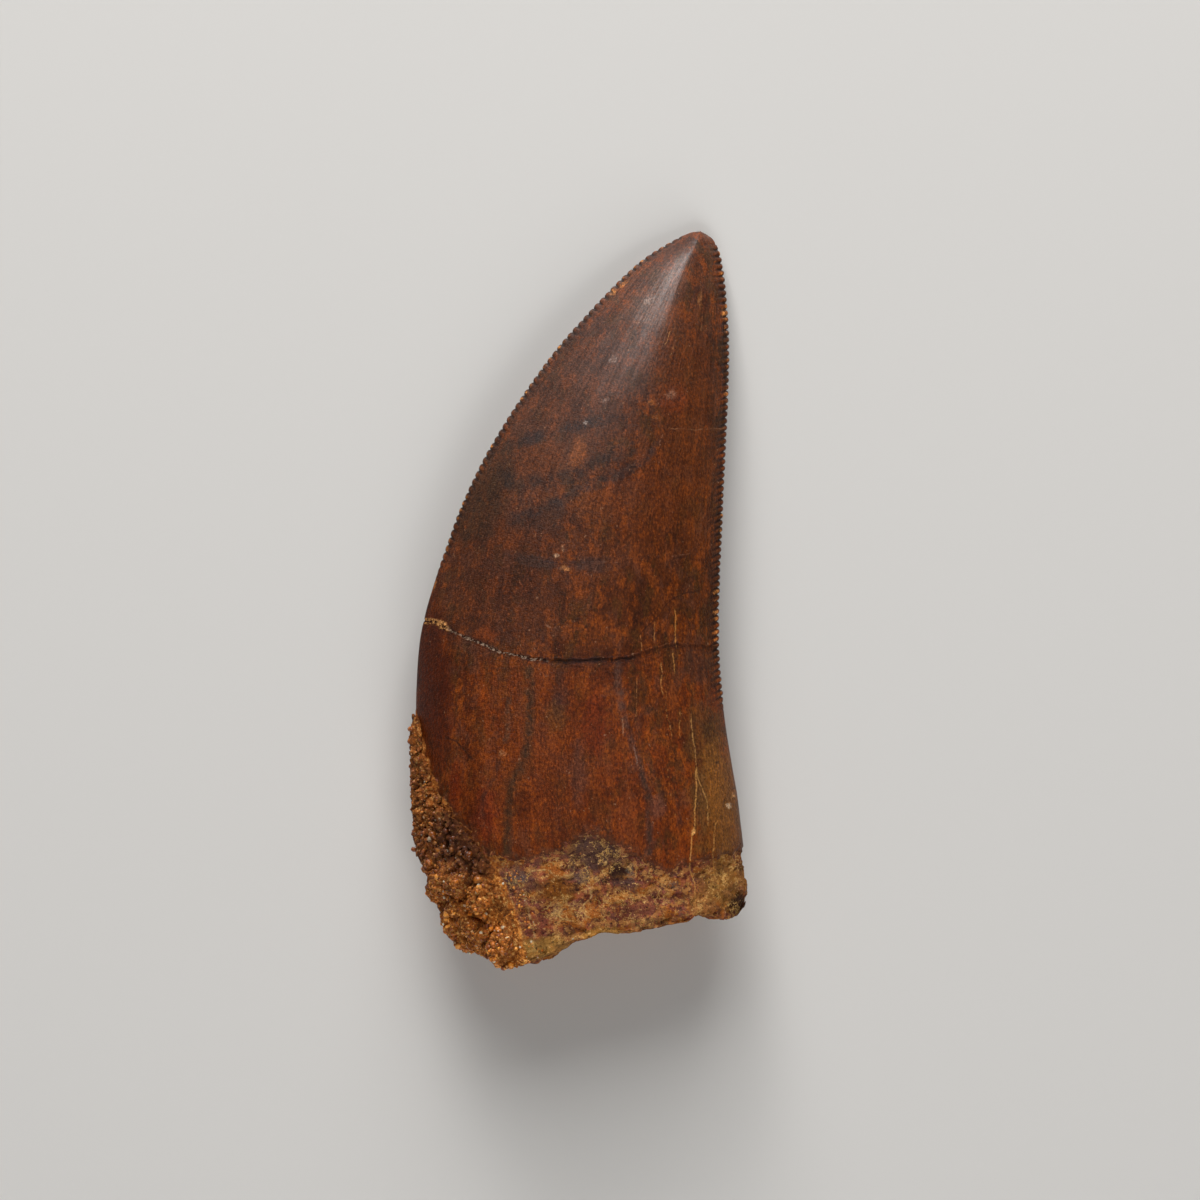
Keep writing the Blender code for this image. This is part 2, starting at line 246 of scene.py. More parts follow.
class Blade:
    """The tooth's surface, by row from the tip and share across from front to back edge."""

    def __init__(self):
        self.front = smooth_line(FRONT_EDGE)
        self.back = smooth_line(BACK_EDGE)
        self.front_root = lengths_along(self.front)[-1] - CROWN_ROWS * FRONT_PITCH
        self.back_root = lengths_along(self.back)[-1] - CROWN_ROWS * BACK_PITCH

    def edges(self, row):
        crown = np.minimum(row, CROWN_ROWS)
        root = np.clip((row - CROWN_ROWS) / ROOT_ROWS, 0.0, 1.0)
        return (
            point_along(self.front, crown * FRONT_PITCH + root * self.front_root),
            point_along(self.back, crown * BACK_PITCH + root * self.back_root),
        )

    def width(self, row):
        front, back = self.edges(row)
        return np.hypot(*(back - front).T)

    def place(self, row, across, upper):
        """The places, in millimetres, of rows no lower than the break."""
        front, back = self.edges(row)
        reach = np.hypot(*((front + back) / 2 - np.array(FRONT_EDGE[0])).T)
        from_tip, *shape = np.array(BLADE).T
        up, down, middle = (np.interp(np.sqrt(reach), np.sqrt(from_tip), s) for s in shape)
        root = ease((reach - ROOT_START) / ROOT_BLEND)
        peaked = (1 - ease(reach / TIP_REACH)) * upper
        full = np.where(upper[:, None], UPPER_ROOT_FULLNESS, UNDER_ROOT_FULLNESS)
        power, blunt = (
            crown + (full[:, k] - crown) * root + (tip - crown) * peaked
            for k, (crown, tip) in enumerate(zip(CROWN_FULLNESS, TIP_FULLNESS))
        )
        bulge = np.maximum(0.0, 1 - np.abs(2 * across - 1) ** power) ** blunt
        hollow = ROOT_HOLLOW * root * np.exp(-(((across - HOLLOW_SHARE) / HOLLOW_WIDTH) ** 2))
        x, y = (front + (back - front) * across[:, None]).T
        arch = 4 * across * (1 - across)
        y = y - ROW_SAG * ease(reach / SAG_REACH) * arch
        broken = ease((row - LAST_ROW + BREAK_ROWS) / BREAK_ROWS)
        end = self.front[-1, 1] + (self.back[-1, 1] - self.front[-1, 1]) * across - ROW_SAG * arch
        y = y + (np.interp(x, *np.array(BREAK_LINE).T) - end) * broken
        over = middle + up * bulge - 0.5 * hollow
        under = np.maximum(0.0, middle - down * bulge + hollow)
        return np.stack([x, y, np.where(upper, over, under)], axis=1)


def deselect_all():
    if bpy.context.object and bpy.context.object.mode != "OBJECT":
        bpy.ops.object.mode_set(mode="OBJECT")
    bpy.ops.object.select_all(action="DESELECT")


def edit_all():
    bpy.ops.object.mode_set(mode="EDIT")
    bpy.ops.mesh.select_all(action="SELECT")


def read_all(items, name, width):
    values = np.empty(len(items) * width)
    items.foreach_get(name, values)
    return values.reshape(-1, width)


def read_places(mesh):
    """The mesh's vertices in millimetres."""
    return read_all(mesh.vertices, "co", 3) / MM


def write_places(mesh, places):
    mesh.vertices.foreach_set("co", (places * MM).ravel())
    mesh.update()


def read_normals(mesh):
    return read_all(mesh.vertex_normals, "vector", 3)


def read_values(mesh, name):
    return read_all(mesh.attributes[name].data, "value", 1)[:, 0]


def write_values(mesh, name, values):
    made = mesh.attributes.get(name) or mesh.attributes.new(name, "FLOAT", "POINT")
    made.data.foreach_set("value", values)


# The tooth

def spread_out(count):
    """Shares across the blade, closer together near its edges."""
    t = np.arange(count) / count
    return 0.25 * t + 0.75 * (0.5 - 0.5 * np.cos(np.pi * t))


def tooth_form():
    """A ring drawn out row by row from the tip, each vertex keeping its row and share across."""
    deselect_all()
    columns = UPPER_COLUMNS + UNDER_COLUMNS
    bpy.ops.mesh.primitive_circle_add(vertices=columns, radius=MM, fill_type="TRIFAN")
    tooth = bpy.context.object
    tooth.name = tooth.data.name = "fossil_tooth"
    upper = spread_out(UPPER_COLUMNS)
    under = 1 - spread_out(UNDER_COLUMNS)
    on_ring = np.hypot(*read_places(tooth.data).T[:2]) > 0.5
    across = np.full(columns + 1, 0.5)
    across[on_ring] = np.concatenate([upper, under])
    side = np.zeros(columns + 1)
    side[on_ring] = [0.0, *(UPPER_COLUMNS - 1) * [1.0], 0.0, *(UNDER_COLUMNS - 1) * [-1.0]]
    write_values(tooth.data, "across", across)
    write_values(tooth.data, "side", side)
    write_values(tooth.data, "row", np.where(on_ring, TIP_STATIONS[0], 0.0))
    edit_all()
    bpy.ops.mesh.region_to_loop()
    stations = [*TIP_STATIONS[1:], *range(2, LAST_ROW, STATION_ROWS), LAST_ROW]
    stations += [LAST_ROW + k for k in range(1, len(BREAK_RINGS))]
    for station in stations:
        bpy.ops.mesh.extrude_region_move(TRANSFORM_OT_translate={"value": (0, 0, -MM)})
        form = bmesh.from_edit_mesh(tooth.data)
        row = form.verts.layers.float["row"]
        for vert in form.verts:
            if vert.select:
                vert[row] = station
    bpy.ops.mesh.edge_face_add()
    form = bmesh.from_edit_mesh(tooth.data)
    row = form.verts.layers.float["row"]
    for edge in form.edges:
        near, far = sorted(vert[row] for vert in edge.verts)
        edge.select_set(far > near >= 1.0)
    form.select_flush(False)
    bmesh.update_edit_mesh(tooth.data)
    bpy.ops.mesh.subdivide(number_cuts=ROW_CUTS)
    bpy.ops.object.mode_set(mode="OBJECT")
    return tooth


def draw_in(places, row):
    """The rows past the break turn inwards, towards the middle line of the broken end."""
    past = np.clip(row - LAST_ROW, 0, len(BREAK_RINGS) - 1)
    steps = np.arange(len(BREAK_RINGS))
    width, depth, lift = (np.interp(past, steps, ring) for ring in zip(*BREAK_RINGS))
    end = places[np.isclose(row, LAST_ROW)].mean(axis=0)
    x = end[0] + (places[:, 0] - end[0]) * width
    z = end[2] + (places[:, 2] - end[2]) * depth
    return np.stack([x, places[:, 1] + lift, z], axis=1)


def saw(row):
    """The crest of each tooth of a saw edge is 1, and the groove between two teeth 0."""
    return np.abs(np.sin(np.pi * row)) ** 0.6


def saw_edges(blade, row, across):
    """For the front, then the back edge: distance from it, size and comb of its teeth, reach."""
    width = blade.width(row)
    for edge_share, (first, last, tall, reach) in ((across, FRONT_SAW), (1 - across, BACK_SAW)):
        away = edge_share * width
        fresh = ease((row - first) / SAW_FADES[0]) * ease((last - row) / SAW_FADES[1])
        yield away, fresh, tall, saw(row - GROOVE_SLANT * away), reach


def saw_relief(blade, row, across):
    """How far the saw edges stand out, and the grooves between their teeth go in."""
    total = np.zeros(len(row))
    uneven = 0.8 + 0.35 * rough(np.stack([row, across * 9, 0 * row], axis=1), 0.7, 23.0)
    for away, fresh, tall, comb, reach in saw_edges(blade, row, across):
        proud = tall * uneven * comb * np.exp(-((away / SAW_WIDTH) ** 2))
        groove = GROOVE_DEPTH * (1 - comb) * np.exp(-((away / reach) ** 2))
        total += fresh * (proud - groove)
    return total


def saw_marks(blade, row, across):
    """Masks of the crests of the saw edges and of the grooves between them."""
    crest, groove = np.zeros((2, len(row)))
    for away, fresh, _, comb, reach in saw_edges(blade, row, across):
        crest = np.maximum(crest, fresh * comb * np.exp(-((away / CREST_WIDTH) ** 2)))
        groove = np.maximum(groove, fresh * (1 - comb) * np.exp(-((away / reach) ** 2)))
    return crest, groove


def crack_relief(x, y, wobble):
    """The main crack and its branch: a sharp groove with slightly sunken sides."""
    total = np.zeros(len(x))
    faint = 1 - 0.7 * ease((x - CRACK_FADES) / CRACK_FADE_LENGTH)
    for line, depth in ((MAIN_CRACK, CRACK_DEPTH * faint), (BRANCH_CRACK, BRANCH_DEPTH)):
        away = np.abs(away_from(line, x, y + wobble))
        sharp = np.exp(-((away / CRACK_WIDTH) ** 2)) * (0.75 + 2.0 * wobble)
        total -= depth * sharp + 0.02 * np.exp(-((away / 0.6) ** 2))
    return total


def shape_tooth(tooth, blade, shift):
    """Lays the form on the blade and works its relief."""
    mesh = tooth.data
    row, across, side = (read_values(mesh, name) for name in ("row", "across", "side"))
    upper = side >= 0
    base = draw_in(blade.place(np.minimum(row, LAST_ROW), across, upper), row)
    write_places(mesh, base)
    normals = read_normals(mesh)
    x, y = base[:, 0], base[:, 1]
    wobble = rough(base, 1.6)
    below = -away_from(ENAMEL_LINE, x, y) + 0.36 * wobble + 0.34 * rough(base, 3.2, 7.0)
    sunken = ease((below + 0.1) / 0.28)
    lumps = sum(share * rough(base, pitch, start) for pitch, start, share in ROOT_LUMPS)
    pits = np.maximum(0, rough(base, 2.6, 31.0) - 0.25)
    fine = rough(base, 9.0, 11.0)
    root = ease((below - 0.05) / 0.6)
    zigzag = 0.12 * wobble + 0.10 * rough(base, 3.2, 19.0)
    height = saw_relief(blade, row, across) + crack_relief(x, y, zigzag)
    height += root * (ROOT_RELIEF * lumps + 0.05 * fine - ROOT_PITS * pits) - ENAMEL_STEP * sunken
    height += 0.02 * rough(base, 0.45, 17.0) * (1 - root)
    in_crust = -away_from(CRUST_LINE, x, y) + 0.25 * wobble + 0.15 * rough(base, 3.4, 13.0)
    film = ease((in_crust + 0.05) / 0.5)
    height = height * (1 - 0.7 * film) + film * (0.10 + 0.10 * cobbles(base, 2.2) + 0.06 * fine)
    finished = base + normals * height[:, None]
    finished[:, 2] = np.maximum(finished[:, 2], 0.0)
    write_places(mesh, finished + shift)
    away = np.minimum(across, 1 - across) * blade.width(row)
    off_crack = away_from(MAIN_CRACK, x, y + zigzag)
    crest, groove = saw_marks(blade, row, across)
    marks = {
        "below_enamel": below,
        "off_crack": np.clip(off_crack, -1.0, 1.0),
        "in_crust": in_crust,
        "off_edge": away,
        "crest": crest,
        "groove": groove,
        "upper_face": ease(side * 4),
        # Low places between the root's lumps, where the material paints shade
        "hollow": np.clip(0.5 - lumps, 0, 1) * root,
    }
    for name, values in marks.items():
        write_values(mesh, name, values)
    fibre = np.stack([across * FIBRE_SPREAD, row * BACK_PITCH, side * FIBRE_SPREAD], axis=1)
    mesh.attributes.new("fibre", "FLOAT_VECTOR", "POINT").data.foreach_set("vector", fibre.ravel())
    mesh.shade_smooth()


# The crust and the sand

def cement_to(tooth_tree, places, normals, uneven):
    """Draws the crust down onto the tooth, its inner side just below the tooth's surface."""
    bases = np.array([tooth_tree.find_nearest(Vector(place) * MM)[0][:] for place in places]) / MM
    off = places - bases
    far = np.maximum(np.linalg.norm(off, axis=1), 0.001)
    outward = off / far[:, None]
    drawn = np.interp(far, CEMENT_FROM, CEMENT_TO)
    outer = ease(((normals * outward).sum(axis=1) + 0.1) / 0.6)
    fronting = 0.12 + 0.88 * np.clip(-outward[:, 0], 0.0, 1.0) ** 3
    strip = np.interp(places[:, 1], *zip(*STRIP_REACH)) * fronting + uneven
    even = INNER_SIDE + outer * (strip - INNER_SIDE)
    away = drawn + (even - drawn) * ease((places[:, 1] - STRIP_START) / STRIP_BLEND)
    return bases + outward * away[:, None], away


def crust_piece(node, tooth_tree):
    """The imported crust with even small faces, gritty lumps and a border that meets the tooth."""
    deselect_all()
    crust = node.copy()
    crust.data = node.data.copy()
    crust.name = crust.data.name = "sandstone_crust"
    bpy.context.scene.collection.objects.link(crust)
    crust.select_set(True)
    bpy.context.view_layer.objects.active = crust
    edit_all()
    bpy.ops.mesh.remove_doubles(threshold=0.001 * MM)
    bpy.ops.object.mode_set(mode="OBJECT")
    even = crust.modifiers.new("even_faces", "REMESH")
    even.mode = "VOXEL"
    even.voxel_size = CRUST_VOXEL * MM
    bpy.ops.object.modifier_apply(modifier=even.name)
    mesh = crust.data
    places = read_places(mesh)
    normals = read_normals(mesh)
    lumps = sum(share * cobbles(places, pitch) for pitch, share in CRUST_LUMPS)
    fine = rough(places, 7.0, 3.0)
    bold = 0.22 + 0.78 * ease((COARSE_SAND_TOP - places[:, 1]) / 5.0)
    proud = np.interp(places[:, 1], *zip(*CRUST_PROUD)) * np.clip(0.3 - normals[:, 0], 0.0, 1.0)
    shaped = places + normals * (proud + 0.30 * bold * lumps + 0.05 * fine)[:, None]
    settled, away = cement_to(tooth_tree, shaped, normals, 0.22 * lumps + 0.05 * fine)
    settled[:, 2] = np.maximum(settled[:, 2], 0.15)
    write_places(mesh, settled)
    # Low places between the crust's lumps, where the material paints shade
    write_values(mesh, "hollow", np.clip(0.45 - 1.1 * lumps, 0, 1))
    write_values(mesh, "off_tooth", away)
    mesh.shade_smooth()
    return crust


def grain_form():
    """One rounded grain of sand, 1 mm across."""
    deselect_all()
    bpy.ops.mesh.primitive_cube_add(size=1.0 * MM)
    grain = bpy.context.object
    edit_all()
    bpy.ops.mesh.subdivide(number_cuts=1)
    bpy.ops.transform.tosphere(value=0.72)
    bpy.ops.object.mode_set(mode="OBJECT")
    return grain


def scatter(surface, keep, count, sizes, seed):
    """Places, normals and sizes of grains spread evenly over the kept faces of a piece."""
    chance = np.random.default_rng(seed)
    mesh = surface.data
    mesh.calc_loop_triangles()
    corners = np.array([t.vertices for t in mesh.loop_triangles])
    places = read_places(mesh)
    corners = corners[keep[corners].all(axis=1)]
    a, b, c = (places[corners[:, k]] for k in range(3))
    across = np.cross(b - a, c - a)
    area = np.linalg.norm(across, axis=1)
    picked = chance.choice(len(corners), size=count, p=area / area.sum())
    u, v = chance.random((2, count))
    over = u + v > 1
    u, v = np.where(over, 1 - u, u)[:, None], np.where(over, 1 - v, v)[:, None]
    spots = a[picked] + (b - a)[picked] * u + (c - a)[picked] * v
    normals = across[picked] / area[picked][:, None]
    small, large = sizes
    size = small * (large / small) ** (chance.random(count) ** 2.2)
    return spots, normals, size, chance.random((count, 3))


def sand_piece(grain, beds):
    """All grains of sand joined in one mesh, each with its own tint."""
    shape = read_places(grain.data)
    faces = np.array([p.vertices[:] for p in grain.data.polygons])
    places, polygons, tints = [], [], []
    for spots, normals, sizes, turns in beds:
        for spot, normal, size, turn in zip(spots, normals, sizes, turns):
            spun = Matrix.Rotation(math.tau * turn[0], 3, Vector((turn[1], turn[2], 0.5)))
            stretch = np.array((1.0, 0.65 + 0.5 * turn[1], 0.55 + 0.4 * turn[0])) * size
            polygons.append(faces + len(shape) * len(places))
            spot = spot - normal * size * GRAIN_SUNK
            places.append((shape * stretch) @ np.array(spun).T + spot)
            tints.append(np.full(len(shape), turn[2]))
    mesh = bpy.data.meshes.new("loose_sand")
    mesh.from_pydata(np.vstack(places) * MM, [], np.vstack(polygons).tolist())
    sand = bpy.data.objects.new("loose_sand", mesh)
    bpy.context.scene.collection.objects.link(sand)
    write_values(mesh, "tint", np.concatenate(tints))
    mesh.shade_smooth()
    bpy.data.objects.remove(grain)
    return sand


# Materials

def tone(red, green, blue):
    """A colour as a screen shows it, 0 to 255, in the shader's own linear values."""
    parts = (part / 255 for part in (red, green, blue))
    return tuple(p / 12.92 if p <= 0.04045 else ((p + 0.055) / 1.055) ** 2.4 for p in parts)


class Paint:
    """Builds one node tree, a colour or a mask at a time."""

    def __init__(self, tree):
        self.tree = tree

    def add(self, kind, inputs=None, **settings):
        """A node with its settings made, and its inputs set or linked."""
        made = self.tree.nodes.new(kind)
        for name, value in settings.items():
            setattr(made, name, value)
        for name, value in (inputs or {}).items():
            self.put(value, made.inputs[name])
        return made

    def put(self, value, socket):
        if isinstance(value, bpy.types.NodeSocket):
            self.tree.links.new(value, socket)
        else:
            socket.default_value = value

    def calc(self, operation, *values):
        return self.add("ShaderNodeMath", dict(enumerate(values)), operation=operation).outputs[0]

    def vector(self, operation, *values):
        inputs = dict(enumerate(values))
        return self.add("ShaderNodeVectorMath", inputs, operation=operation).outputs[0]

    def axis(self, place, name):
        return self.add("ShaderNodeSeparateXYZ", {0: place}).outputs[name]

    def bump(self, shader, height, deep):
        """Fine relief for the shader, its full height in millimetres."""
        inputs = {"Height": height, "Strength": 1.0, "Distance": deep * MM}
        self.put(self.add("ShaderNodeBump", inputs).outputs["Normal"], shader.inputs["Normal"])

    def turned_to(self, share, first, second):
        """Two values mixed by a share."""
        return self.add("ShaderNodeMix", {0: share, 2: first, 3: second}).outputs[0]

    def both(self, *masks):
        """Masks multiplied together."""
        total = masks[0]
        for mask in masks[1:]:
            total = self.calc("MULTIPLY", total, mask)
        return total

    def mix(self, share, first, second, way="MIX"):
        sockets = {0: share, 6: first, 7: second}
        mixed = self.add("ShaderNodeMix", sockets, data_type="RGBA", blend_type=way)
        return mixed.outputs[2]

    def blend(self, share, *colours):
        """Two colours mixed by a share, each made before or given as a screen shows it."""
        ready = (c if isinstance(c, bpy.types.NodeSocket) else (*tone(*c), 1.0) for c in colours)
        return self.mix(share, *ready)

    def lay(self, colour, tint, *masks):
        """A colour with another laid on it, within masks and shares multiplied together."""
        return self.blend(self.both(*masks), colour, tint)

    def times(self, colour, factors):
        return self.mix(1.0, colour, (*factors, 1.0), "MULTIPLY")

    def between(self, value, low, high, to_low=0.0, to_high=1.0):
        """A value eased from one range to another."""
        names = ("Value", "From Min", "From Max", "To Min", "To Max")
        made = self.add(
            "ShaderNodeMapRange",
            dict(zip(names, (value, low, high, to_low, to_high))),
            interpolation_type="SMOOTHSTEP",
        )
        return made.outputs["Result"]

    def attribute(self, name, output="Fac"):
        return self.add("ShaderNodeAttribute", attribute_name=name).outputs[output]

    def cloud(self, place, scale, detail=4.0, roughness=0.55):
        """Noise from 0 to 1."""
        inputs = {"Vector": place, "Scale": scale, "Detail": detail, "Roughness": roughness}
        return self.add("ShaderNodeTexNoise", inputs).outputs["Fac"]

    def stretched(self, place, scale, start=(0, 0, 0)):
        inputs = {"Vector": place, "Scale": scale, "Location": start}
        return self.add("ShaderNodeMapping", inputs).outputs["Vector"]

    def use(self, group, **inputs):
        """A shared node group's first output, with its inputs set by name."""
        made = self.add("ShaderNodeGroup", node_tree=group)
        for name, value in inputs.items():
            self.put(value, made.inputs[name.replace("_", " ").capitalize()])
        return made.outputs[0]

    def line(self, place, path, width):
        """A mask along a line drawn through the given points."""
        points = np.array(path)
        run_axis = int(np.ptp(points[:, 1]) > np.ptp(points[:, 0]))
        points = points[np.argsort(points[:, run_axis])]
        run, rise = points[:, run_axis], points[:, 1 - run_axis]
        split = self.add("ShaderNodeSeparateXYZ", {0: place}).outputs
        along = split[run_axis]
        low, high = run[0], run[-1]
        share = self.add("ShaderNodeMapRange", {0: along, 1: low, 2: high}).outputs["Result"]
        curve = self.add("ShaderNodeFloatCurve", {"Value": share})
        span = max(float(np.ptp(rise)), 0.01)
        knots = curve.mapping.curves[0].points
        while len(knots) < len(run):
            knots.new(0.5, 0.5)
        for knot, (x, y) in zip(knots, zip((run - low) / (high - low), (rise - rise.min()) / span)):
            knot.location = (x, y)
        curve.mapping.update()
        middle = self.calc("MULTIPLY_ADD", curve.outputs[0], span, float(rise.min()))
        away = self.calc("ABSOLUTE", self.calc("SUBTRACT", split[1 - run_axis], middle))
        ends = self.both(
            self.between(along, low - 0.2, low + 0.2), self.between(along, high + 0.2, high - 0.2)
        )
        return self.both(self.between(away, width, 0.3 * width), ends)


VECTOR = "NodeSocketVector"
NUMBER = "NodeSocketFloat"


def new_group(name, inputs, output):
    """An empty shader group: inputs by name and kind, and one output."""
    group = bpy.data.node_groups.new(name, "ShaderNodeTree")
    for title, kind in inputs.items():
        group.interface.new_socket(title, in_out="INPUT", socket_type=kind)
    group.interface.new_socket(output, in_out="OUTPUT", socket_type=NUMBER)
    paint = Paint(group)
    return group, paint, paint.add("NodeGroupInput").outputs, paint.add("NodeGroupOutput").inputs


def ragged_patch_group():
    """An oval patch with an uneven edge."""
    inputs = {"Place": VECTOR, "Centre": VECTOR, "Reach": VECTOR, "Turn": NUMBER, "Uneven": NUMBER}
    group, paint, given, out = new_group("ragged_patch", inputs, "Mask")
    off = paint.vector("SUBTRACT", given["Place"], given["Centre"])
    spin = {"Vector": off, "Angle": given["Turn"]}
    turned = paint.add("ShaderNodeVectorRotate", spin, rotation_type="Z_AXIS").outputs[0]
    level = paint.vector("MULTIPLY", paint.vector("DIVIDE", turned, given["Reach"]), (1, 1, 0))
    length = paint.add("ShaderNodeVectorMath", {0: level}, operation="LENGTH").outputs["Value"]
    paint.put(paint.between(paint.calc("ADD", given["Uneven"], length), 1.25, 0.45), out["Mask"])
    return group


def fibre_group():
    """Fine streaks that run along the tooth."""
    group, paint, given, out = new_group("fibre_streaks", {"Fibre": VECTOR}, "Streaks")
    fine = paint.cloud(paint.stretched(given["Fibre"], (1, 0.10, 1)), 4.2, 4.0, 0.62)
    broad = paint.cloud(paint.stretched(given["Fibre"], (1, 0.05, 1), (7, 3, 1)), 1.1, 3.0)
    total = paint.calc("ADD", paint.both(fine, 0.62), paint.both(broad, 0.38))
    paint.put(total, out["Streaks"])
    return group


def vein_group():
    """A web of broken thin veins."""
    inputs = {"Place": VECTOR, "Scale": NUMBER, "Width": NUMBER}
    group, paint, given, out = new_group("vein_web", inputs, "Mask")
    bent = paint.cloud(given["Place"], given["Scale"], 3.0, 0.6)
    ridge = paint.calc("ABSOLUTE", paint.calc("SUBTRACT", bent, 0.5))
    gate = paint.between(paint.cloud(given["Place"], 0.9, 2.0), 0.46, 0.60)
    paint.put(paint.both(paint.between(ridge, given["Width"], 0.0), gate), out["Mask"])
    return group


def new_material(name):
    material = bpy.data.materials.new(name)
    material.use_nodes = True
    tree = material.node_tree
    return material, Paint(tree), tree.nodes["Principled BSDF"]


def millimetres(paint, shift):
    """Object coordinates in the tooth's own millimetres."""
    coords = paint.add("ShaderNodeTexCoord").outputs["Object"]
    return paint.stretched(coords, (1 / MM,) * 3, tuple(-shift))
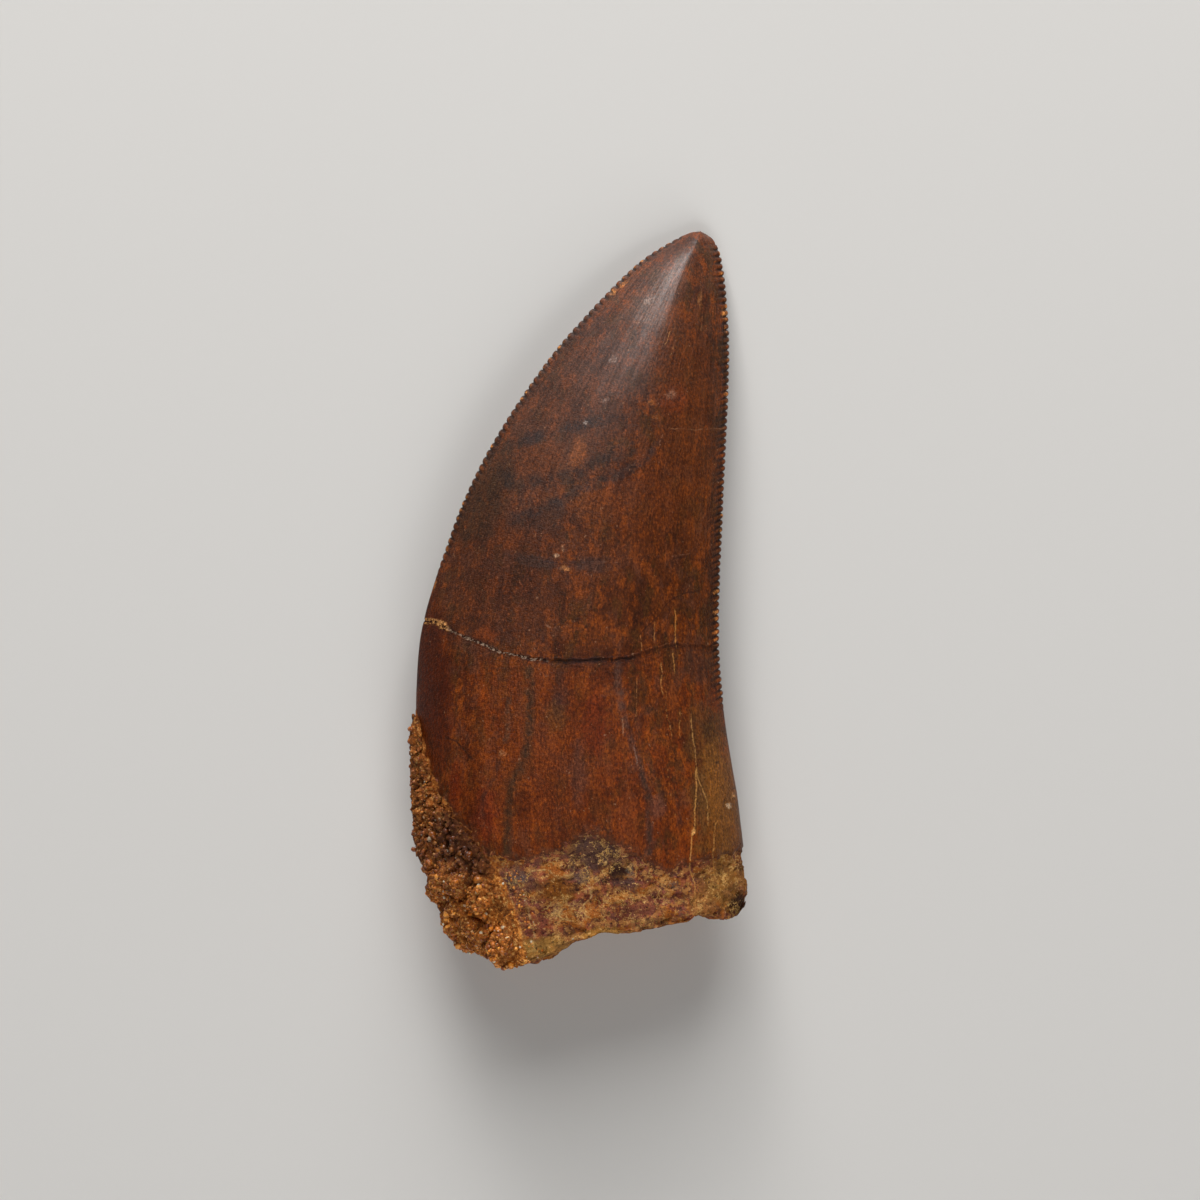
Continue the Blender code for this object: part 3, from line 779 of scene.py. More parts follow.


# Stains, painted sheen and painted shade on the upper face: centre, reach, turn in degrees,
# raggedness, colour, strength
STAINS_SHEEN_AND_SHADE = (
    (-2.2, -11, 6.5, 7, 0, 0.8, 112, 50, 12, 0.4),
    (-5.2, 1.6, 5.4, 6.6, -20, 0.7, 66, 35, 22, 0.55),
    # Painted sheen: a grey-mauve veil over the left half of the upper crown, where the light is
    # reflected
    (-0.6, 12.6, 4.4, 9.5, -36, 0.7, 78, 50, 38, 0.55),
    # Painted sheen along the ridge near the tip
    (5.2, 20.6, 1.6, 3.4, -38, 0.5, 100, 66, 48, 0.4),
    (7.4, 12, 2.4, 9, 0, 0.7, 96, 46, 14, 0.55),
    (4.6, 6.4, 2.6, 3.6, 0, 1, 96, 44, 12, 0.55),
    (-2.6, 8.9, 1.9, 1.9, 0, 1.2, 100, 50, 20, 0.5),
    (-8, 7.4, 1.2, 2.2, -30, 1, 92, 44, 18, 0.45),
    (-6.6, 7, 1.8, 3.8, -24, 1, 50, 34, 20, 0.6),
    (-1.6, 5.6, 2.6, 0.9, 14, 1, 54, 38, 30, 0.35),
    (0.8, 6.6, 1.4, 2, 0, 1.2, 112, 56, 18, 0.6),
    (2, 2.6, 2.4, 1.6, 10, 1.2, 98, 50, 24, 0.45),
    (0.9, 2.2, 1.6, 0.55, 0, 1.2, 54, 40, 36, 0.65),
    (-2.9, 2.4, 2.2, 0.5, -14, 1.2, 52, 38, 34, 0.6),
    (-4, 10.7, 2.6, 0.35, 18, 1.2, 50, 36, 30, 0.6),
    (1.2, 12, 2.6, 0.32, 14, 1.2, 50, 36, 32, 0.6),
    # Painted shade: dark red-brown along the lower front edge, where the blade turns away from the
    # light
    (-10.3, -5.6, 1.7, 7.5, 4, 0.4, 60, 17, 1, 0.85),
    (-1.3, -6.9, 0.7, 2.2, 0, 1.4, 60, 36, 28, 0.6),
    (-1.5, -7.6, 0.5, 0.9, 0, 1.2, 56, 40, 40, 0.5),
    (1, -8.7, 0.9, 2.3, 0, 1.2, 98, 34, 8, 0.6),
    (-0.1, -12, 0.6, 2.4, 0, 1.2, 84, 54, 42, 0.5),
    (-6.4, -15, 0.9, 2.2, 0, 1, 112, 42, 20, 0.55),
    (-8.6, -13.6, 0.5, 2.4, 0, 1, 104, 34, 6, 0.6),
    (-2.4, -10.2, 1.1, 1.6, 0, 1.4, 116, 54, 18, 0.5),
    (-1.6, -8.2, 0.9, 1.1, 0, 1.2, 100, 58, 18, 0.55),
    (3.3, -15.6, 0.9, 3, 0, 1, 112, 52, 18, 0.55),
    (5.4, -14.4, 0.55, 0.95, 0, 1.2, 100, 60, 46, 0.6),
    (4.8, -7.7, 0.35, 0.35, 0, 1.2, 58, 46, 32, 0.6),
    (6.2, -7.4, 0.9, 2.2, 0, 1.2, 104, 50, 16, 0.45),
    (8, -4.8, 1.3, 1.2, 0, 1.2, 66, 40, 28, 0.65),
    (8.3, -9.6, 1.3, 2.4, 0, 1.2, 78, 50, 22, 0.6),
    (9.3, -9.2, 0.9, 1.7, 10, 1, 66, 44, 20, 0.65),
    (9.9, -14.4, 2.2, 5.2, 4, 0.9, 110, 66, 22, 0.8),
    (9.5, -13.6, 1, 3.6, 8, 1.3, 136, 86, 34, 0.5),
    (8.3, -14.2, 0.6, 2.6, 0, 1.2, 92, 64, 34, 0.55),
    (-0.05, 11.85, 1.5, 0.42, 16, 1.2, 46, 40, 40, 0.6),
    (-3.25, 10.95, 1, 0.5, 18, 1.2, 46, 40, 40, 0.6),
    (-0.12, 9.8, 0.6, 1.3, -12, 1.2, 124, 68, 32, 0.65),
    (6.5, 13.6, 1, 1, 0, 1.2, 106, 44, 14, 0.55),
    (6.34, 13.95, 0.42, 0.3, 30, 1.4, 150, 112, 90, 0.55),
    (6.7, 13.6, 0.35, 0.2, 30, 1.2, 60, 28, 16, 0.8),
    (4.95, 13.39, 0.26, 0.22, 30, 1.4, 156, 90, 40, 0.7),
    (5.23, 12.34, 0.42, 0.24, 0, 1.4, 136, 76, 30, 0.7),
    (8.34, 20.61, 0.2, 0.58, 0, 1.4, 146, 96, 52, 0.65),
    (-0.95, 1.95, 0.4, 0.2, -20, 1.6, 196, 130, 76, 0.85),
    (-1.6, 2.85, 0.2, 0.16, 0, 1.4, 190, 150, 118, 0.75),
    (-1.15, 3.4, 0.12, 0.3, 0, 1.4, 150, 110, 80, 0.65),
    (2.31, 16.44, 0.34, 0.26, 0, 1.8, 160, 136, 124, 0.5),
    (1.75, 13.5, 0.32, 0.2, 0, 1.8, 150, 124, 112, 0.45),
    (4.88, 20.6, 0.5, 0.24, 30, 1.8, 168, 144, 132, 0.45),
    (4.45, 18.55, 0.18, 0.34, -30, 1.2, 44, 34, 34, 0.8),
    (0.43, 12, 0.16, 0.13, 0, 1.2, 176, 160, 150, 0.7),
    (-6.4, -2.6, 0.9, 0.6, 0, 1.2, 116, 52, 16, 0.55),
    (-5.3, -10.75, 0.26, 0.22, 0, 1.2, 160, 110, 70, 0.65),
    (4.18, -11.75, 0.18, 0.15, 0, 1.2, 176, 112, 70, 0.8),
    (10.3, -14.4, 0.22, 0.18, 0, 1.2, 226, 196, 160, 0.85),
    (10.6, -13.7, 0.16, 0.2, 0, 1.2, 206, 150, 90, 0.7),
    (10.1, -14, 0.14, 0.2, 0, 1.2, 40, 24, 12, 0.85),
    (9.5, -11.4, 0.2, 0.14, 0, 1.2, 40, 24, 12, 0.85),
    (9.75, -15.2, 0.14, 0.14, 0, 1.2, 36, 22, 12, 0.85),
    (7.8, -16.15, 0.17, 0.22, 0, 1, 232, 176, 104, 0.9),
    (-9.5, -1.8, 0.36, 0.18, -20, 1.6, 212, 152, 92, 0.85),
    (9.46, 0.33, 0.26, 0.2, 0, 0.8, 210, 136, 70, 0.85),
    (9.5, -0.3, 0.24, 0.16, 0, 0.8, 196, 120, 60, 0.8),
    (9.46, -1.06, 0.28, 0.24, 0, 0.8, 220, 146, 80, 0.9),
    (9.46, -1.5, 0.24, 0.16, 0, 0.8, 200, 126, 60, 0.8),
    (9.46, -2.38, 0.28, 0.24, 0, 0.8, 216, 134, 66, 0.85),
    (9.5, -3, 0.24, 0.2, 0, 0.8, 190, 116, 56, 0.75),
    (9.95, 22.4, 0.22, 0.24, 0, 0.8, 206, 132, 70, 0.8),
    (10.1, 19.7, 0.26, 0.5, 0, 0.8, 214, 140, 72, 0.85),
    (10.2, 18.6, 0.2, 0.26, 0, 0.8, 196, 120, 58, 0.75),
    (10.2, 14.1, 0.22, 0.36, 0, 0.8, 200, 126, 62, 0.75),
    (2.3, 21.2, 0.3, 0.22, 40, 0.8, 206, 134, 72, 0.8),
    (3, 21.75, 0.4, 0.18, 40, 0.8, 196, 124, 62, 0.75),
    (-9.25, 3.5, 0.2, 0.6, -18, 0.8, 200, 128, 62, 0.75),
    (-10.1, 0.9, 0.2, 0.5, -16, 0.8, 192, 118, 56, 0.7),
)
# Bands of stain, and one of painted shade, that follow a line: points, half width, colour, strength
NECK_BAND = (
    (-3.45, -4.7), (-3.4, -7.2), (-3.6, -10.3), (-4.15, -12), (-4.65, -13.4), (-4.9, -15.5),
    (-4.9, -17.6),
)
BANDS = (
    (((-5.3, 8), (-1.4, 8.1), (1.4, 9.3), (3.9, 10.4)), 0.85, (46, 34, 30), 0.7),
    (((-5, 5.3), (-3.2, 5.8), (-1.4, 6.5), (0, 7.4), (1.7, 8), (3.5, 8.8), (5.6, 10.9)),
     0.6, (48, 38, 36), 0.65),
    (NECK_BAND, 0.5, (66, 46, 28), 0.7),
    (NECK_BAND, 0.16, (46, 30, 18), 0.45),
    (((-4.84, -6.5), (-4.9, -8.5), (-5.05, -10)), 0.3, (70, 52, 38), 0.6),
    (((-5.5, -11), (-5.75, -12), (-6.2, -13.1), (-6.65, -13.9), (-6.6, -15.8)), 0.24,
     (58, 38, 28), 0.6),
    (((2.6, -4.4), (2.7, -6.5), (3.1, -8.6), (3.6, -10.1), (4.05, -11.5), (4.4, -12.6),
      (4.75, -14.1), (4.8, -16.2), (4.7, -17.7)), 0.42, (74, 48, 38), 0.8),
    (((4.2, -12), (4.4, -12.6), (4.75, -14.1), (4.8, -16.2), (4.7, -17.7)), 0.16,
     (48, 34, 22), 0.5),
    (((-9.2, -9.6), (-8.3, -10.1), (-7.6, -10.85), (-7.05, -11.5)), 0.14, (46, 22, 10), 0.85),
    # Painted shade along the back edge, where the blade turns away from the light
    (((8.9, 19.5), (9.5, 14), (9.4, 6), (9, -2), (9.3, -7.5)), 0.6, (60, 34, 16), 0.45),
)
# Fine lines: points, half width, colour, strength, how much of it is worn away
FINE_LINES = (
    (((5.85, 11.79), (7.66, 11.58), (10.3, 11.79)), 0.06, (146, 98, 66), 0.6, 0.25),
    (((3.28, 8.8), (3.91, 9.29), (4.74, 10.05), (5.64, 10.82), (5.78, 11.65)), 0.07,
     (140, 92, 66), 0.6, 0.35),
    (((2.86, 9.29), (3.7, 10.05), (4.32, 10.82)), 0.06, (134, 92, 70), 0.5, 0.4),
    (((3.4, 9), (4.1, 9), (4.9, 9.5)), 0.12, (40, 24, 18), 0.7, 0.3),
    (((0.5, 1.58), (0.92, 1.62), (1.48, 2.41), (2.31, 2.34), (4.25, 2.83), (5.85, 2.76),
      (7.73, 3.04)), 0.06, (142, 100, 80), 0.5, 0.45),
    (((1.4, 2.2), (2.31, 2.2), (4.25, 2.7), (5.85, 2.62), (7.73, 2.9)), 0.09, (44, 26, 20),
     0.6, 0.3),
    (((-3.94, 3.04), (-3.18, 2.62), (-1.51, 2.27), (-0.89, 1.93)), 0.09, (42, 28, 28), 0.6, 0.3),
    (((-2.41, -1.75), (-1.65, -2.1), (-0.82, -1.89)), 0.08, (150, 104, 78), 0.7, 0.2),
    (((7.65, -8.2), (7.8, -9.8), (8, -11.35), (8.15, -12.4), (8.5, -13.4), (8.75, -14.45),
      (8.85, -15.65)), 0.06, (190, 138, 74), 0.8, 0.2),
    (((8, -11.9), (8, -13.4), (7.93, -14.95), (7.8, -16.2), (7.65, -17.1), (7.6, -18.15),
      (7.73, -19.1), (7.93, -20.5), (7.86, -21.4)), 0.07, (208, 146, 76), 0.85, 0.12),
    (((9.46, -15.35), (9.25, -16.55), (9.2, -18.05), (9.35, -19.5)), 0.065, (198, 138, 68),
     0.8, 0.2),
    (((4.2, -2.6), (4.25, -3.7)), 0.05, (176, 116, 60), 0.7, 0.1),
    (((5.15, -1.75), (5.15, -3)), 0.05, (190, 124, 58), 0.8, 0.05),
    (((6.6, -0.9), (6.6, -2.3), (6.7, -3.4)), 0.06, (194, 128, 60), 0.85, 0.05),
    (((6.4, -3.7), (6.48, -4.5), (6.55, -5.2)), 0.055, (190, 128, 62), 0.8, 0.05),
    (((5.62, -4.5), (5.64, -5.8), (5.71, -6.6)), 0.06, (200, 138, 72), 0.8, 0.1),
    (((5.92, -6.5), (5.99, -8), (6.13, -8.7), (6.34, -9.5)), 0.06, (186, 124, 62), 0.75, 0.3),
    (((6.05, -11.5), (6.2, -13), (6.6, -15)), 0.06, (172, 116, 60), 0.6, 0.4),
    (((3.98, -5.6), (3.9, -7.2), (3.84, -8.6)), 0.05, (170, 108, 56), 0.65, 0.3),
    (((6.9, -7.8), (6.9, -9.6)), 0.055, (186, 124, 62), 0.7, 0.25),
    (((2.93, -8.3), (3, -9.5)), 0.055, (176, 124, 88), 0.75, 0.1),
    (((3.7, -10.3), (3.85, -10.9), (3.98, -11.5)), 0.07, (146, 110, 92), 0.65, 0.1),
    (((5.85, 17.45), (6.05, 17.8), (6.2, 18.3)), 0.05, (196, 136, 80), 0.7, 0),
    (((6.3, 16.7), (6.5, 17.4)), 0.045, (186, 130, 80), 0.6, 0),
    (((4.2, 15), (5, 16.6), (5.9, 18.6)), 0.05, (132, 90, 66), 0.5, 0.3),
    (((4.8, 15.2), (5.5, 16.9), (6.4, 19.4)), 0.05, (140, 92, 62), 0.5, 0.35),
    (((8.35, 22.3), (8.5, 20), (8.45, 18.2)), 0.05, (150, 98, 56), 0.5, 0.4),
    (((-3.8, -20.36), (-3.39, -21.89), (-3.04, -23.49)), 0.12, (206, 160, 104), 0.8, 0.25),
    (((-2.9, -20), (-1.6, -20.7), (0.2, -21.1)), 0.1, (200, 146, 84), 0.7, 0.35),
    (((-3.6, -19), (-2.4, -18.7), (-1.2, -19.2), (-0.3, -18.6)), 0.1, (214, 168, 104), 0.8, 0.2),
    (((0.2, -19.6), (0.8, -20.4), (0.3, -21.3), (1.2, -22)), 0.1, (220, 176, 112), 0.8, 0.2),
    (((-1.4, -21.6), (-0.4, -22.2), (0.6, -21.9)), 0.09, (220, 172, 104), 0.75, 0.25),
)
# Clouds of other tints in the bare root and in the enamel: start, pitch, colour, strength
ROOT_MOTTLES = (
    ((2, 7, 1), 1.1, (158, 90, 72), 0.75),
    ((6, 4, 3), 0.8, (182, 102, 30), 0.8),
    ((9, 1, 8), 1.6, (100, 64, 52), 0.65),
    ((4, 8, 5), 2.2, (222, 152, 80), 0.55),
)
MOTTLES = (
    ((5, 1, 0), 0.75, (88, 50, 32), 0.65),
    ((1, 9, 4), 0.95, (70, 43, 14), 0.6),
    ((8, 3, 7), 1.3, (132, 62, 12), 0.6),
    ((3, 5, 2), 2.6, (78, 38, 14), 0.45),
)
# Stains on the bare root: centre, reach, turn, raggedness, colour, strength
ROOT_STAINS = (
    (-1.6, -20.1, 1.5, 1, 0, 0.9, 146, 84, 26, 0.9),
    (1.1, -17.5, 2.4, 1.5, 0, 1.1, 84, 62, 54, 0.85),
    (2.6, -18.8, 0.8, 0.55, 10, 1.2, 38, 22, 22, 0.9),
    (1.6, -19.5, 0.45, 0.4, 0, 1.2, 44, 26, 24, 0.85),
    (0.1, -19.1, 0.8, 0.55, 0, 1.4, 86, 84, 80, 0.65),
    (3.5, -18.9, 0.35, 0.75, 0, 1.3, 112, 106, 92, 0.65),
    (8.4, -20.9, 1, 1.3, 0, 0.8, 186, 120, 60, 0.8),
    (9.9, -19.4, 1.6, 2.4, 0, 1.1, 158, 108, 46, 0.75),
    (11, -21.3, 0.9, 0.8, 30, 1, 48, 22, 4, 0.95),
    (-2.9, -24.1, 2.4, 0.8, 12, 0.6, 194, 142, 66, 0.85),
    (1.4, -23, 1.6, 0.5, 8, 1.2, 200, 142, 56, 0.75),
    (4.8, -22.4, 1.6, 0.45, 5, 1.2, 176, 130, 66, 0.6),
    (-5.6, -20.2, 1.2, 1.1, 0, 1.1, 134, 72, 46, 0.7),
    (-4.4, -19.5, 1.8, 1.1, 0, 1.2, 112, 70, 60, 0.75),
    (-4.2, -19.2, 0.9, 0.5, 0, 1.4, 96, 90, 90, 0.6),
    (3.4, -19.7, 0.9, 0.5, 0, 1.3, 74, 58, 58, 0.75),
    (-0.4, -20, 0.5, 0.3, 0, 1.3, 52, 34, 28, 0.7),
    (6.4, -19.7, 0.5, 0.4, 0, 1.3, 104, 96, 92, 0.6),
    (-3, -22.6, 1.5, 0.7, 10, 1, 150, 76, 58, 0.7),
    (4, -21.3, 1.6, 0.8, 8, 1.1, 138, 76, 56, 0.65),
    (-1.5, -21.6, 0.4, 0.7, 0, 1.3, 226, 180, 112, 0.75),
    (5.9, -19.4, 0.6, 0.35, 20, 1.4, 224, 168, 98, 0.75),
)


# Webs of veins on the root: webs in 1 mm, width, colour, strength
VEINS = ((1.1, 0.024, (230, 180, 108), 0.9), (2.3, 0.03, (226, 170, 90), 0.85))
# Places in the row of tints, and tints, of the grains of sand
SAND_TINTS = (
    (0, (94, 40, 8)), (0.35, (144, 72, 14)), (0.7, (180, 100, 26)), (0.9, (200, 128, 52)),
    (0.97, (150, 130, 104)), (1, (190, 172, 146)),
)
BARE_ROUGHNESS = 0.85
# How far the drawn lines swing to either side, in millimetres
WAVINESS = 0.45
# Noises that fray the stains, and the widths below which the next finer one is used
PATCH_NOISES = (0.8, 1.6, 3.6)
PATCH_LIMITS = (1.3, 0.5)


def fraying(paint, place):
    """A mask that breaks up small flecks, and the noises that fray the stains' edges."""
    broken = paint.between(paint.cloud(place, 6.5, 2.0, 0.6), 0.42, 0.56, 0.25, 1.0)
    return broken, [
        paint.calc("SUBTRACT", paint.cloud(place, scale, 4.0, 0.65), 0.5) for scale in PATCH_NOISES
    ]


def mottled(paint, colour, place, table, limits, squeeze, roughness):
    """The colour with the clouds of a table laid on it, each where its noise is high."""
    for start, pitch, mark_colour, strength in table:
        patches = paint.cloud(paint.stretched(place, (1, squeeze, 1), start), pitch, 4.0, roughness)
        colour = paint.lay(colour, mark_colour, paint.between(patches, *limits, 0.0, strength))
    return colour


def patched(paint, colour, groups, frays, place, table, over):
    """The colour with every patch of a table laid on it, within a mask: stains, and on the upper
    face also painted sheen and painted shade.
    """
    broken, rough_edges = frays
    for x, y, wide, long, turn, ragged, *mark_colour, strength in table:
        kind = sum(min(wide, long) < limit for limit in PATCH_LIMITS)
        mask = paint.use(
            groups["patch"],
            place=place,
            centre=(x, y, 0),
            reach=(wide, long, 1),
            turn=math.radians(-turn),
            uneven=paint.both(rough_edges[kind], 1.6 * ragged),
        )
        if kind == len(PATCH_LIMITS):
            mask = paint.both(mask, broken)
        colour = paint.lay(colour, mark_colour, mask, over, strength)
    return colour


def enamel_colour(paint, place, upper, wavy, groups, frays):
    """Brown enamel with its clouds, stains and bands, painted sheen and painted shade, and the
    streaks along its length.
    """
    streaks = paint.use(groups["fibre"], fibre=paint.attribute("fibre", "Vector"))
    mottle = paint.between(paint.cloud(place, 0.42, 5.0, 0.6), 0.34, 0.66)
    crown = paint.blend(mottle, (58, 24, 5), (96, 46, 13))
    neck = paint.blend(mottle, (70, 25, 2), (116, 50, 8))
    colour = paint.blend(paint.between(paint.axis(place, "Y"), -2.0, -7.0), crown, neck)
    colour = mottled(paint, colour, place, MOTTLES, (0.50, 0.60), 0.5, 0.65)
    colour = patched(paint, colour, groups, frays, place, STAINS_SHEEN_AND_SHADE, upper)
    worn = paint.between(paint.cloud(place, 1.7, 4.0, 0.7), 0.42, 0.58, 1.0, 0.35)
    for path, width, mark_colour, strength in BANDS:
        colour = paint.lay(colour, mark_colour, paint.line(wavy, path, width), upper, strength, worn)
    light = paint.times(colour, (2.1, 2.0, 1.8))
    dark = paint.times(colour, (0.36, 0.32, 0.34))
    colour = paint.lay(colour, light, paint.between(streaks, 0.50, 0.64, 0.0, 0.45))
    colour = paint.lay(colour, dark, paint.between(streaks, 0.48, 0.38, 0.0, 0.50))
    fine = paint.cloud(paint.stretched(place, (1, 0.55, 1)), 7.5, 3.0, 0.7)
    colour = paint.lay(colour, dark, paint.between(fine, 0.48, 0.38, 0.0, 0.75))
    colour = paint.lay(colour, light, paint.between(fine, 0.53, 0.64, 0.0, 0.75))
    speck = paint.cloud(paint.stretched(place, (1, 0.8, 1), (3, 8, 2)), 4.0, 2.0, 0.5)
    colour = paint.lay(colour, (150, 104, 74), paint.between(speck, 0.70, 0.76, 0.0, 0.7))
    return colour, streaks


def crack_colour(paint, colour, place, wavy, upper):
    """The thin lines, and the main crack: pale at its front end, black in its middle."""
    gaps = paint.cloud(place, 2.2, 3.0, 0.7)
    chips = paint.between(paint.cloud(place, 6.0, 2.0, 0.6), 0.40, 0.54, 0.35, 1.0)
    for path, width, mark_colour, strength, worn in FINE_LINES:
        kept = paint.between(gaps, 0.32 + 0.4 * worn, 0.44 + 0.4 * worn)
        line = paint.line(wavy, path, width)
        colour = paint.lay(colour, mark_colour, line, kept, chips, upper, strength)
    along = paint.axis(place, "X")
    grit = paint.cloud(place, 4.5, 3.0, 0.7)
    frayed = paint.calc("MULTIPLY_ADD", grit, 0.12, paint.attribute("off_crack"))
    off = paint.calc("ABSOLUTE", paint.calc("SUBTRACT", frayed, 0.06))
    middle = paint.both(paint.between(along, -5.2, -3.6), paint.between(along, 4.4, 3.0))
    blots = paint.between(paint.cloud(place, 1.5, 3.0, 0.65), 0.42, 0.55)
    soft = paint.between(off, 0.34, 0.10)
    colour = paint.lay(colour, (36, 24, 24), soft, middle, blots, upper, 0.70)
    firm = paint.between(paint.cloud(place, 2.4, 3.0, 0.65), 0.40, 0.56, 0.3, 1.0)
    faint = paint.between(along, CRACK_FADES, CRACK_FADES + CRACK_FADE_LENGTH, 0.80, 0.40)
    colour = paint.lay(colour, (34, 18, 12), paint.between(off, 0.12, 0.04), firm, faint, upper)
    front = paint.both(paint.between(along, -1.8, -3.0), paint.between(grit, 0.48, 0.55))
    pale = paint.between(off, 0.13, 0.06)
    colour = paint.lay(colour, (176, 146, 122), pale, front, upper, 0.85)
    gold = paint.both(paint.between(off, 0.24, 0.10), paint.between(along, -8.8, -9.4))
    colour = paint.lay(colour, (206, 146, 84), gold, paint.between(grit, 0.46, 0.52), upper)
    branch = paint.line(wavy, BRANCH_CRACK, 0.09)
    return paint.lay(colour, (48, 24, 14), branch, upper, paint.between(gaps, 0.36, 0.5), 0.7)


def root_colour(paint, place, wavy, upper, groups, frays):
    """Bare root of mauve, rust and ochre, with cream crumbs and veins and dark pits, and painted
    shade in the hollows between its lumps.
    """
    mottle = paint.between(paint.cloud(place, 1.3), 0.44, 0.56)
    colour = paint.blend(mottle, (122, 58, 38), (182, 100, 64))
    colour = mottled(paint, colour, place, ROOT_MOTTLES, (0.52, 0.56), 1, 0.55)
    colour = patched(paint, colour, groups, frays, place, ROOT_STAINS, upper)
    grit = paint.cloud(place, 4.2, 5.0, 0.72)
    colour = paint.lay(colour, (58, 34, 28), paint.between(grit, 0.44, 0.39, 0.0, 0.80))
    for scale, width, mark_colour, strength in VEINS:
        web = paint.use(groups["vein"], place=wavy, scale=scale, width=width)
        colour = paint.lay(colour, mark_colour, web, strength)
    colour = paint.lay(colour, (238, 184, 112), paint.between(grit, 0.60, 0.64, 0.0, 0.95))
    # Painted shade in the hollows between the root's lumps
    return paint.lay(colour, (44, 24, 14), paint.attribute("hollow"), 0.25)


def zoned_tints(paint, colour, place, patch):
    """Tan on the strip, lighter at the lower end, and dark in the corner next to the enamel."""
    up = paint.axis(place, "Y")
    tan = paint.times(colour, (1.28, 1.36, 1.45))
    colour = paint.lay(colour, tan, paint.between(up, -16.5, -14.0))
    lighter_low = paint.times(colour, (1.85, 2.05, 2.1))
    colour = paint.lay(colour, lighter_low, paint.between(up, -17.5, -21.0))
    uneven = paint.calc("SUBTRACT", paint.cloud(place, 1.4, 4.0, 0.6), 0.5)
    corner = paint.use(
        patch, place=place, centre=(-8.0, -17.0, 0), reach=(2.2, 3.2, 1), turn=-0.5, uneven=uneven
    )
    return paint.lay(colour, paint.times(colour, (0.42, 0.36, 0.30)), corner)


def sand_film_colour(paint, place, patch):
    """Fine sand stuck to the tooth round the crust."""
    grit = paint.cloud(place, 3.6, 4.0, 0.7)
    colour = paint.blend(paint.between(grit, 0.38, 0.60), (108, 52, 14), (186, 110, 46))
    colour = paint.lay(colour, (224, 166, 90), paint.between(grit, 0.58, 0.66, 0.0, 0.9))
    return zoned_tints(paint, colour, place, patch)


def edge_colour(paint, colour, place):
    """Painted highlight on the crests of the two saw edges, sand caught on them, and painted shade
    in the grooves between them.
    """
    near = paint.between(paint.attribute("off_edge"), 0.9, 0.1)
    patchy = paint.between(paint.cloud(place, 0.55, 2.0), 0.48, 0.60)
    flecks = paint.between(paint.cloud(place, 3.6, 2.0), 0.52, 0.60)
    crest = paint.attribute("crest")
    # Painted highlight: the crests of the saw teeth lighter where the light catches them
    colour = paint.lay(colour, (128, 72, 36), paint.between(crest, 0.2, 0.9), 0.22)
    gold = paint.between(crest, 0.35, 0.75)
    colour = paint.lay(colour, (214, 138, 66), gold, patchy, flecks, 0.9)
    # Painted shade: darkening in the grooves between the saw teeth
    groove = paint.between(paint.attribute("groove"), 0.06, 0.36)
    return paint.lay(colour, (34, 16, 8), near, groove, 0.85)


def tooth_material(shift, groups):
    """Enamel, bare root and sand film, each with its own colour, gloss and grain."""
    material, paint, shader = new_material("fossil_enamel")
    place = millimetres(paint, shift)
    uneven = {"Vector": place, "Scale": 1.1, "Detail": 6.0, "Roughness": 0.62}
    bend = paint.add("ShaderNodeTexNoise", uneven).outputs["Color"]
    off = paint.vector("SUBTRACT", bend, (0.5,) * 3)
    wavy = paint.vector("MULTIPLY_ADD", off, (WAVINESS,) * 3, place)
    upper = paint.attribute("upper_face")
    in_crust = paint.attribute("in_crust")
    frayed = paint.calc("SUBTRACT", paint.cloud(place, 2.6, 5.0, 0.6), 0.5)
    below = paint.calc("MULTIPLY_ADD", frayed, 1.6, paint.attribute("below_enamel"))
    root = paint.between(below, -0.02, 0.10)
    frays = fraying(paint, place)
    enamel, streaks = enamel_colour(paint, place, upper, wavy, groups, frays)
    rim = paint.between(below, -0.55, 0.0)
    enamel = paint.lay(enamel, (96, 62, 44), rim, paint.cloud(place, 2.2), 0.8)
    bone = root_colour(paint, place, wavy, upper, groups, frays)
    colour = crack_colour(paint, paint.blend(root, enamel, bone), place, wavy, upper)
    sandy = sand_film_colour(paint, place, groups["patch"])
    colour = paint.lay(colour, sandy, paint.between(in_crust, -0.02, 0.22))
    paint.put(edge_colour(paint, colour, place), shader.inputs["Base Color"])
    bare = paint.calc("MAXIMUM", root, paint.between(in_crust, 0.0, 0.2))
    cracked = paint.calc("ABSOLUTE", paint.attribute("off_crack"))
    bare = paint.calc("MAXIMUM", bare, paint.between(cracked, 0.22, 0.12))
    leather = paint.cloud(place, 5.5, 4.0, 0.6)
    worn = paint.calc("MULTIPLY_ADD", leather, 0.18, 0.28)
    paint.put(paint.turned_to(bare, worn, BARE_ROUGHNESS), shader.inputs["Roughness"])
    shader.inputs["Specular IOR Level"].default_value = 0.14
    polish = paint.both(paint.between(paint.axis(place, "Y"), 0.0, 23.0, 0.05, 1.05), leather)
    polish = paint.both(polish, paint.between(streaks, 0.42, 0.58, 0.7, 1.3))
    paint.put(polish, shader.inputs["Coat Weight"])
    shader.inputs["Coat Roughness"].default_value = 0.36
    pores = paint.cloud(place, 11.0, 2.0, 0.6)
    skin = paint.calc("ADD", paint.both(leather, 0.8), paint.both(streaks, 0.7))
    skin = paint.calc("ADD", skin, paint.both(pores, 0.4))
    grit = paint.both(paint.cloud(place, 7.0, 5.0, 0.7), 3.0)
    paint.bump(shader, paint.turned_to(bare, skin, grit), 0.07)
    return material


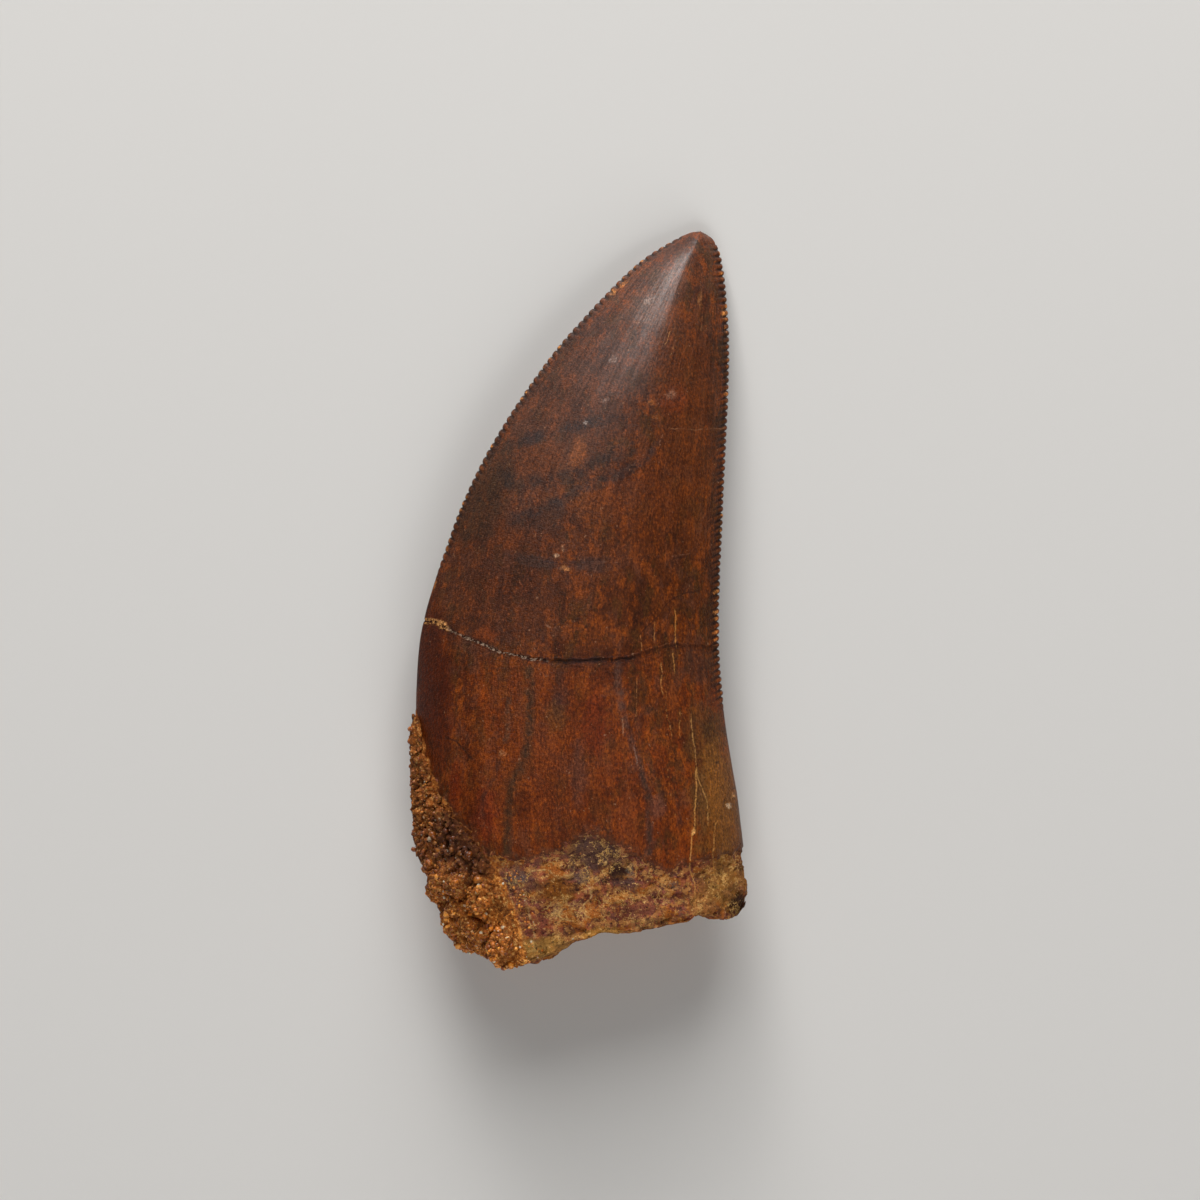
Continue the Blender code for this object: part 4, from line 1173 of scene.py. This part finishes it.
def crust_material(shift, groups):
    """Brown cement between the grains of sand, with painted shade in the hollows between its lumps.
    """
    material, paint, shader = new_material("sandstone")
    place = millimetres(paint, shift)
    colour = paint.blend(paint.cloud(place, 0.9), (104, 46, 9), (174, 94, 26))
    grit = paint.cloud(place, 4.5, 4.0, 0.7)
    colour = paint.lay(colour, (206, 150, 82), paint.between(grit, 0.52, 0.66, 0.0, 0.9))
    colour = paint.lay(colour, (44, 24, 12), paint.between(grit, 0.48, 0.34, 0.0, 0.9))
    colour = zoned_tints(paint, colour, place, groups["patch"])
    # Painted shade in the hollows between the crust's lumps
    colour = paint.lay(colour, (44, 24, 10), paint.attribute("hollow"), 0.7)
    paint.put(colour, shader.inputs["Base Color"])
    shader.inputs["Roughness"].default_value = BARE_ROUGHNESS
    shader.inputs["Specular IOR Level"].default_value = 0.25
    paint.bump(shader, grit, 0.12)
    return material


def sand_material(shift, groups):
    """Grains from brown to gold, a few of them grey, and dirt on some of them."""
    material, paint, shader = new_material("sand_grains")
    place = millimetres(paint, shift)
    ramp = paint.add("ShaderNodeValToRGB", {"Fac": paint.attribute("tint")})
    stops = ramp.color_ramp.elements
    while len(stops) < len(SAND_TINTS):
        stops.new(0.5)
    for stop, (position, tint) in zip(stops, SAND_TINTS):
        stop.position = position
        stop.color = (*tone(*tint), 1)
    dirt = paint.between(paint.cloud(place, 3.0, 4.0, 0.7), 0.52, 0.40, 0.0, 0.65)
    colour = zoned_tints(paint, ramp.outputs["Color"], place, groups["patch"])
    paint.put(paint.lay(colour, (84, 44, 14), dirt), shader.inputs["Base Color"])
    paint.put(paint.between(dirt, 0.0, 0.6, 0.28, 0.8), shader.inputs["Roughness"])
    return material


# The studio

FIELD = 83.33
LENS = 180.0
SENSOR = 36.0
LOOK_AT = (1.50, -0.13, 3.0)
# Bearing and height in degrees, distance and size in metres, and power in watts
LIGHTS = {
    "softbox": (91, 31, 0.5, 0.40, 2.65),
    "core": (100, 21, 0.5, 0.14, 0.75),
    "fill": (-80, 38, 0.6, 0.40, 1.55),
}


def add_floor():
    deselect_all()
    bpy.ops.mesh.primitive_plane_add(size=3.0)
    floor = bpy.context.object
    floor.name = "floor"
    material, _, shader = new_material("pale_floor")
    shader.inputs["Base Color"].default_value = (0.72, 0.70, 0.67, 1)
    shader.inputs["Roughness"].default_value = 0.9
    floor.data.materials.append(material)


def add_area_light(name, bearing, height, distance, size, power):
    """A square light that looks at the fossil from a bearing (0 is +X) and a height in degrees."""
    light = bpy.data.lights.new(name, "AREA")
    light.size = size
    light.energy = power
    lamp = bpy.data.objects.new(name, light)
    turn, rise = math.radians(bearing), math.radians(height)
    away = Vector((
        math.cos(turn) * math.cos(rise), math.sin(turn) * math.cos(rise), math.sin(rise)
    ))
    lamp.location = away * distance
    lamp.rotation_euler = away.to_track_quat("Z", "Y").to_euler()
    bpy.context.scene.collection.objects.link(lamp)


def add_camera():
    camera = bpy.data.cameras.new("camera")
    camera.lens = LENS
    camera.sensor_width = SENSOR
    camera.clip_start = 0.01
    eye = bpy.data.objects.new("camera", camera)
    x, y, z = LOOK_AT
    eye.location = Vector((x, y, z + FIELD * LENS / SENSOR)) * MM
    bpy.context.scene.collection.objects.link(eye)
    bpy.context.scene.camera = eye


def set_sky():
    world = bpy.data.worlds.new("studio")
    world.use_nodes = True
    sky = world.node_tree.nodes["Background"]
    sky.inputs["Color"].default_value = (0.95, 0.97, 1.0, 1)
    sky.inputs["Strength"].default_value = 0.08
    bpy.context.scene.world = world
    bpy.context.scene.view_settings.view_transform = "Standard"


def root_faces(tooth):
    """The tooth's vertices on the bare root, away from the pulp hollow."""
    mesh = tooth.data
    return (read_values(mesh, "below_enamel") > 0.2) & (read_values(mesh, "row") < LAST_ROW)


def build():
    low, high = (np.array(corner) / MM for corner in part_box("tooth"))
    shift = np.array((high[0] - BACK_REACH, high[1] - FRONT_EDGE[0][1], 0.0))
    blade = Blade()
    tooth = tooth_form()
    shape_tooth(tooth, blade, shift)
    groups = {"patch": ragged_patch_group(), "fibre": fibre_group(), "vein": vein_group()}
    tooth.data.materials.append(tooth_material(shift, groups))
    tree = BVHTree.FromPolygons(
        [v.co for v in tooth.data.vertices], [p.vertices for p in tooth.data.polygons]
    )
    crust = crust_piece(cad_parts["sandstone_matrix"], tree)
    crust.data.materials.clear()
    crust.data.materials.append(crust_material(shift, groups))
    open_faces = read_values(crust.data, "off_tooth") > 0.2
    low_end = open_faces & (read_places(crust.data)[:, 1] < COARSE_SAND_TOP)
    in_crust = read_values(tooth.data, "in_crust")
    root = root_faces(tooth)
    beside = (in_crust > -1.3) & (in_crust < 0.1) & root
    beds = [
        scatter(crust, open_faces, 1900, (0.10, 0.26), seed=4),
        scatter(crust, low_end, 600, (0.20, 0.48), seed=5),
        scatter(tooth, in_crust > 0.05, 1100, (0.08, 0.20), seed=6),
        scatter(tooth, beside, 260, (0.08, 0.30), seed=7),
        scatter(tooth, root, 260, (0.06, 0.20), seed=8),
    ]
    sand = sand_piece(grain_form(), beds)
    sand.data.materials.append(sand_material(shift, groups))
    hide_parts("tooth")
    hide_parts("sandstone_matrix")
    for piece in (tooth, crust, sand):
        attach(piece, "root")


build()
add_floor()
for name, settings in LIGHTS.items():
    add_area_light(name, *settings)
add_camera()
set_sky()
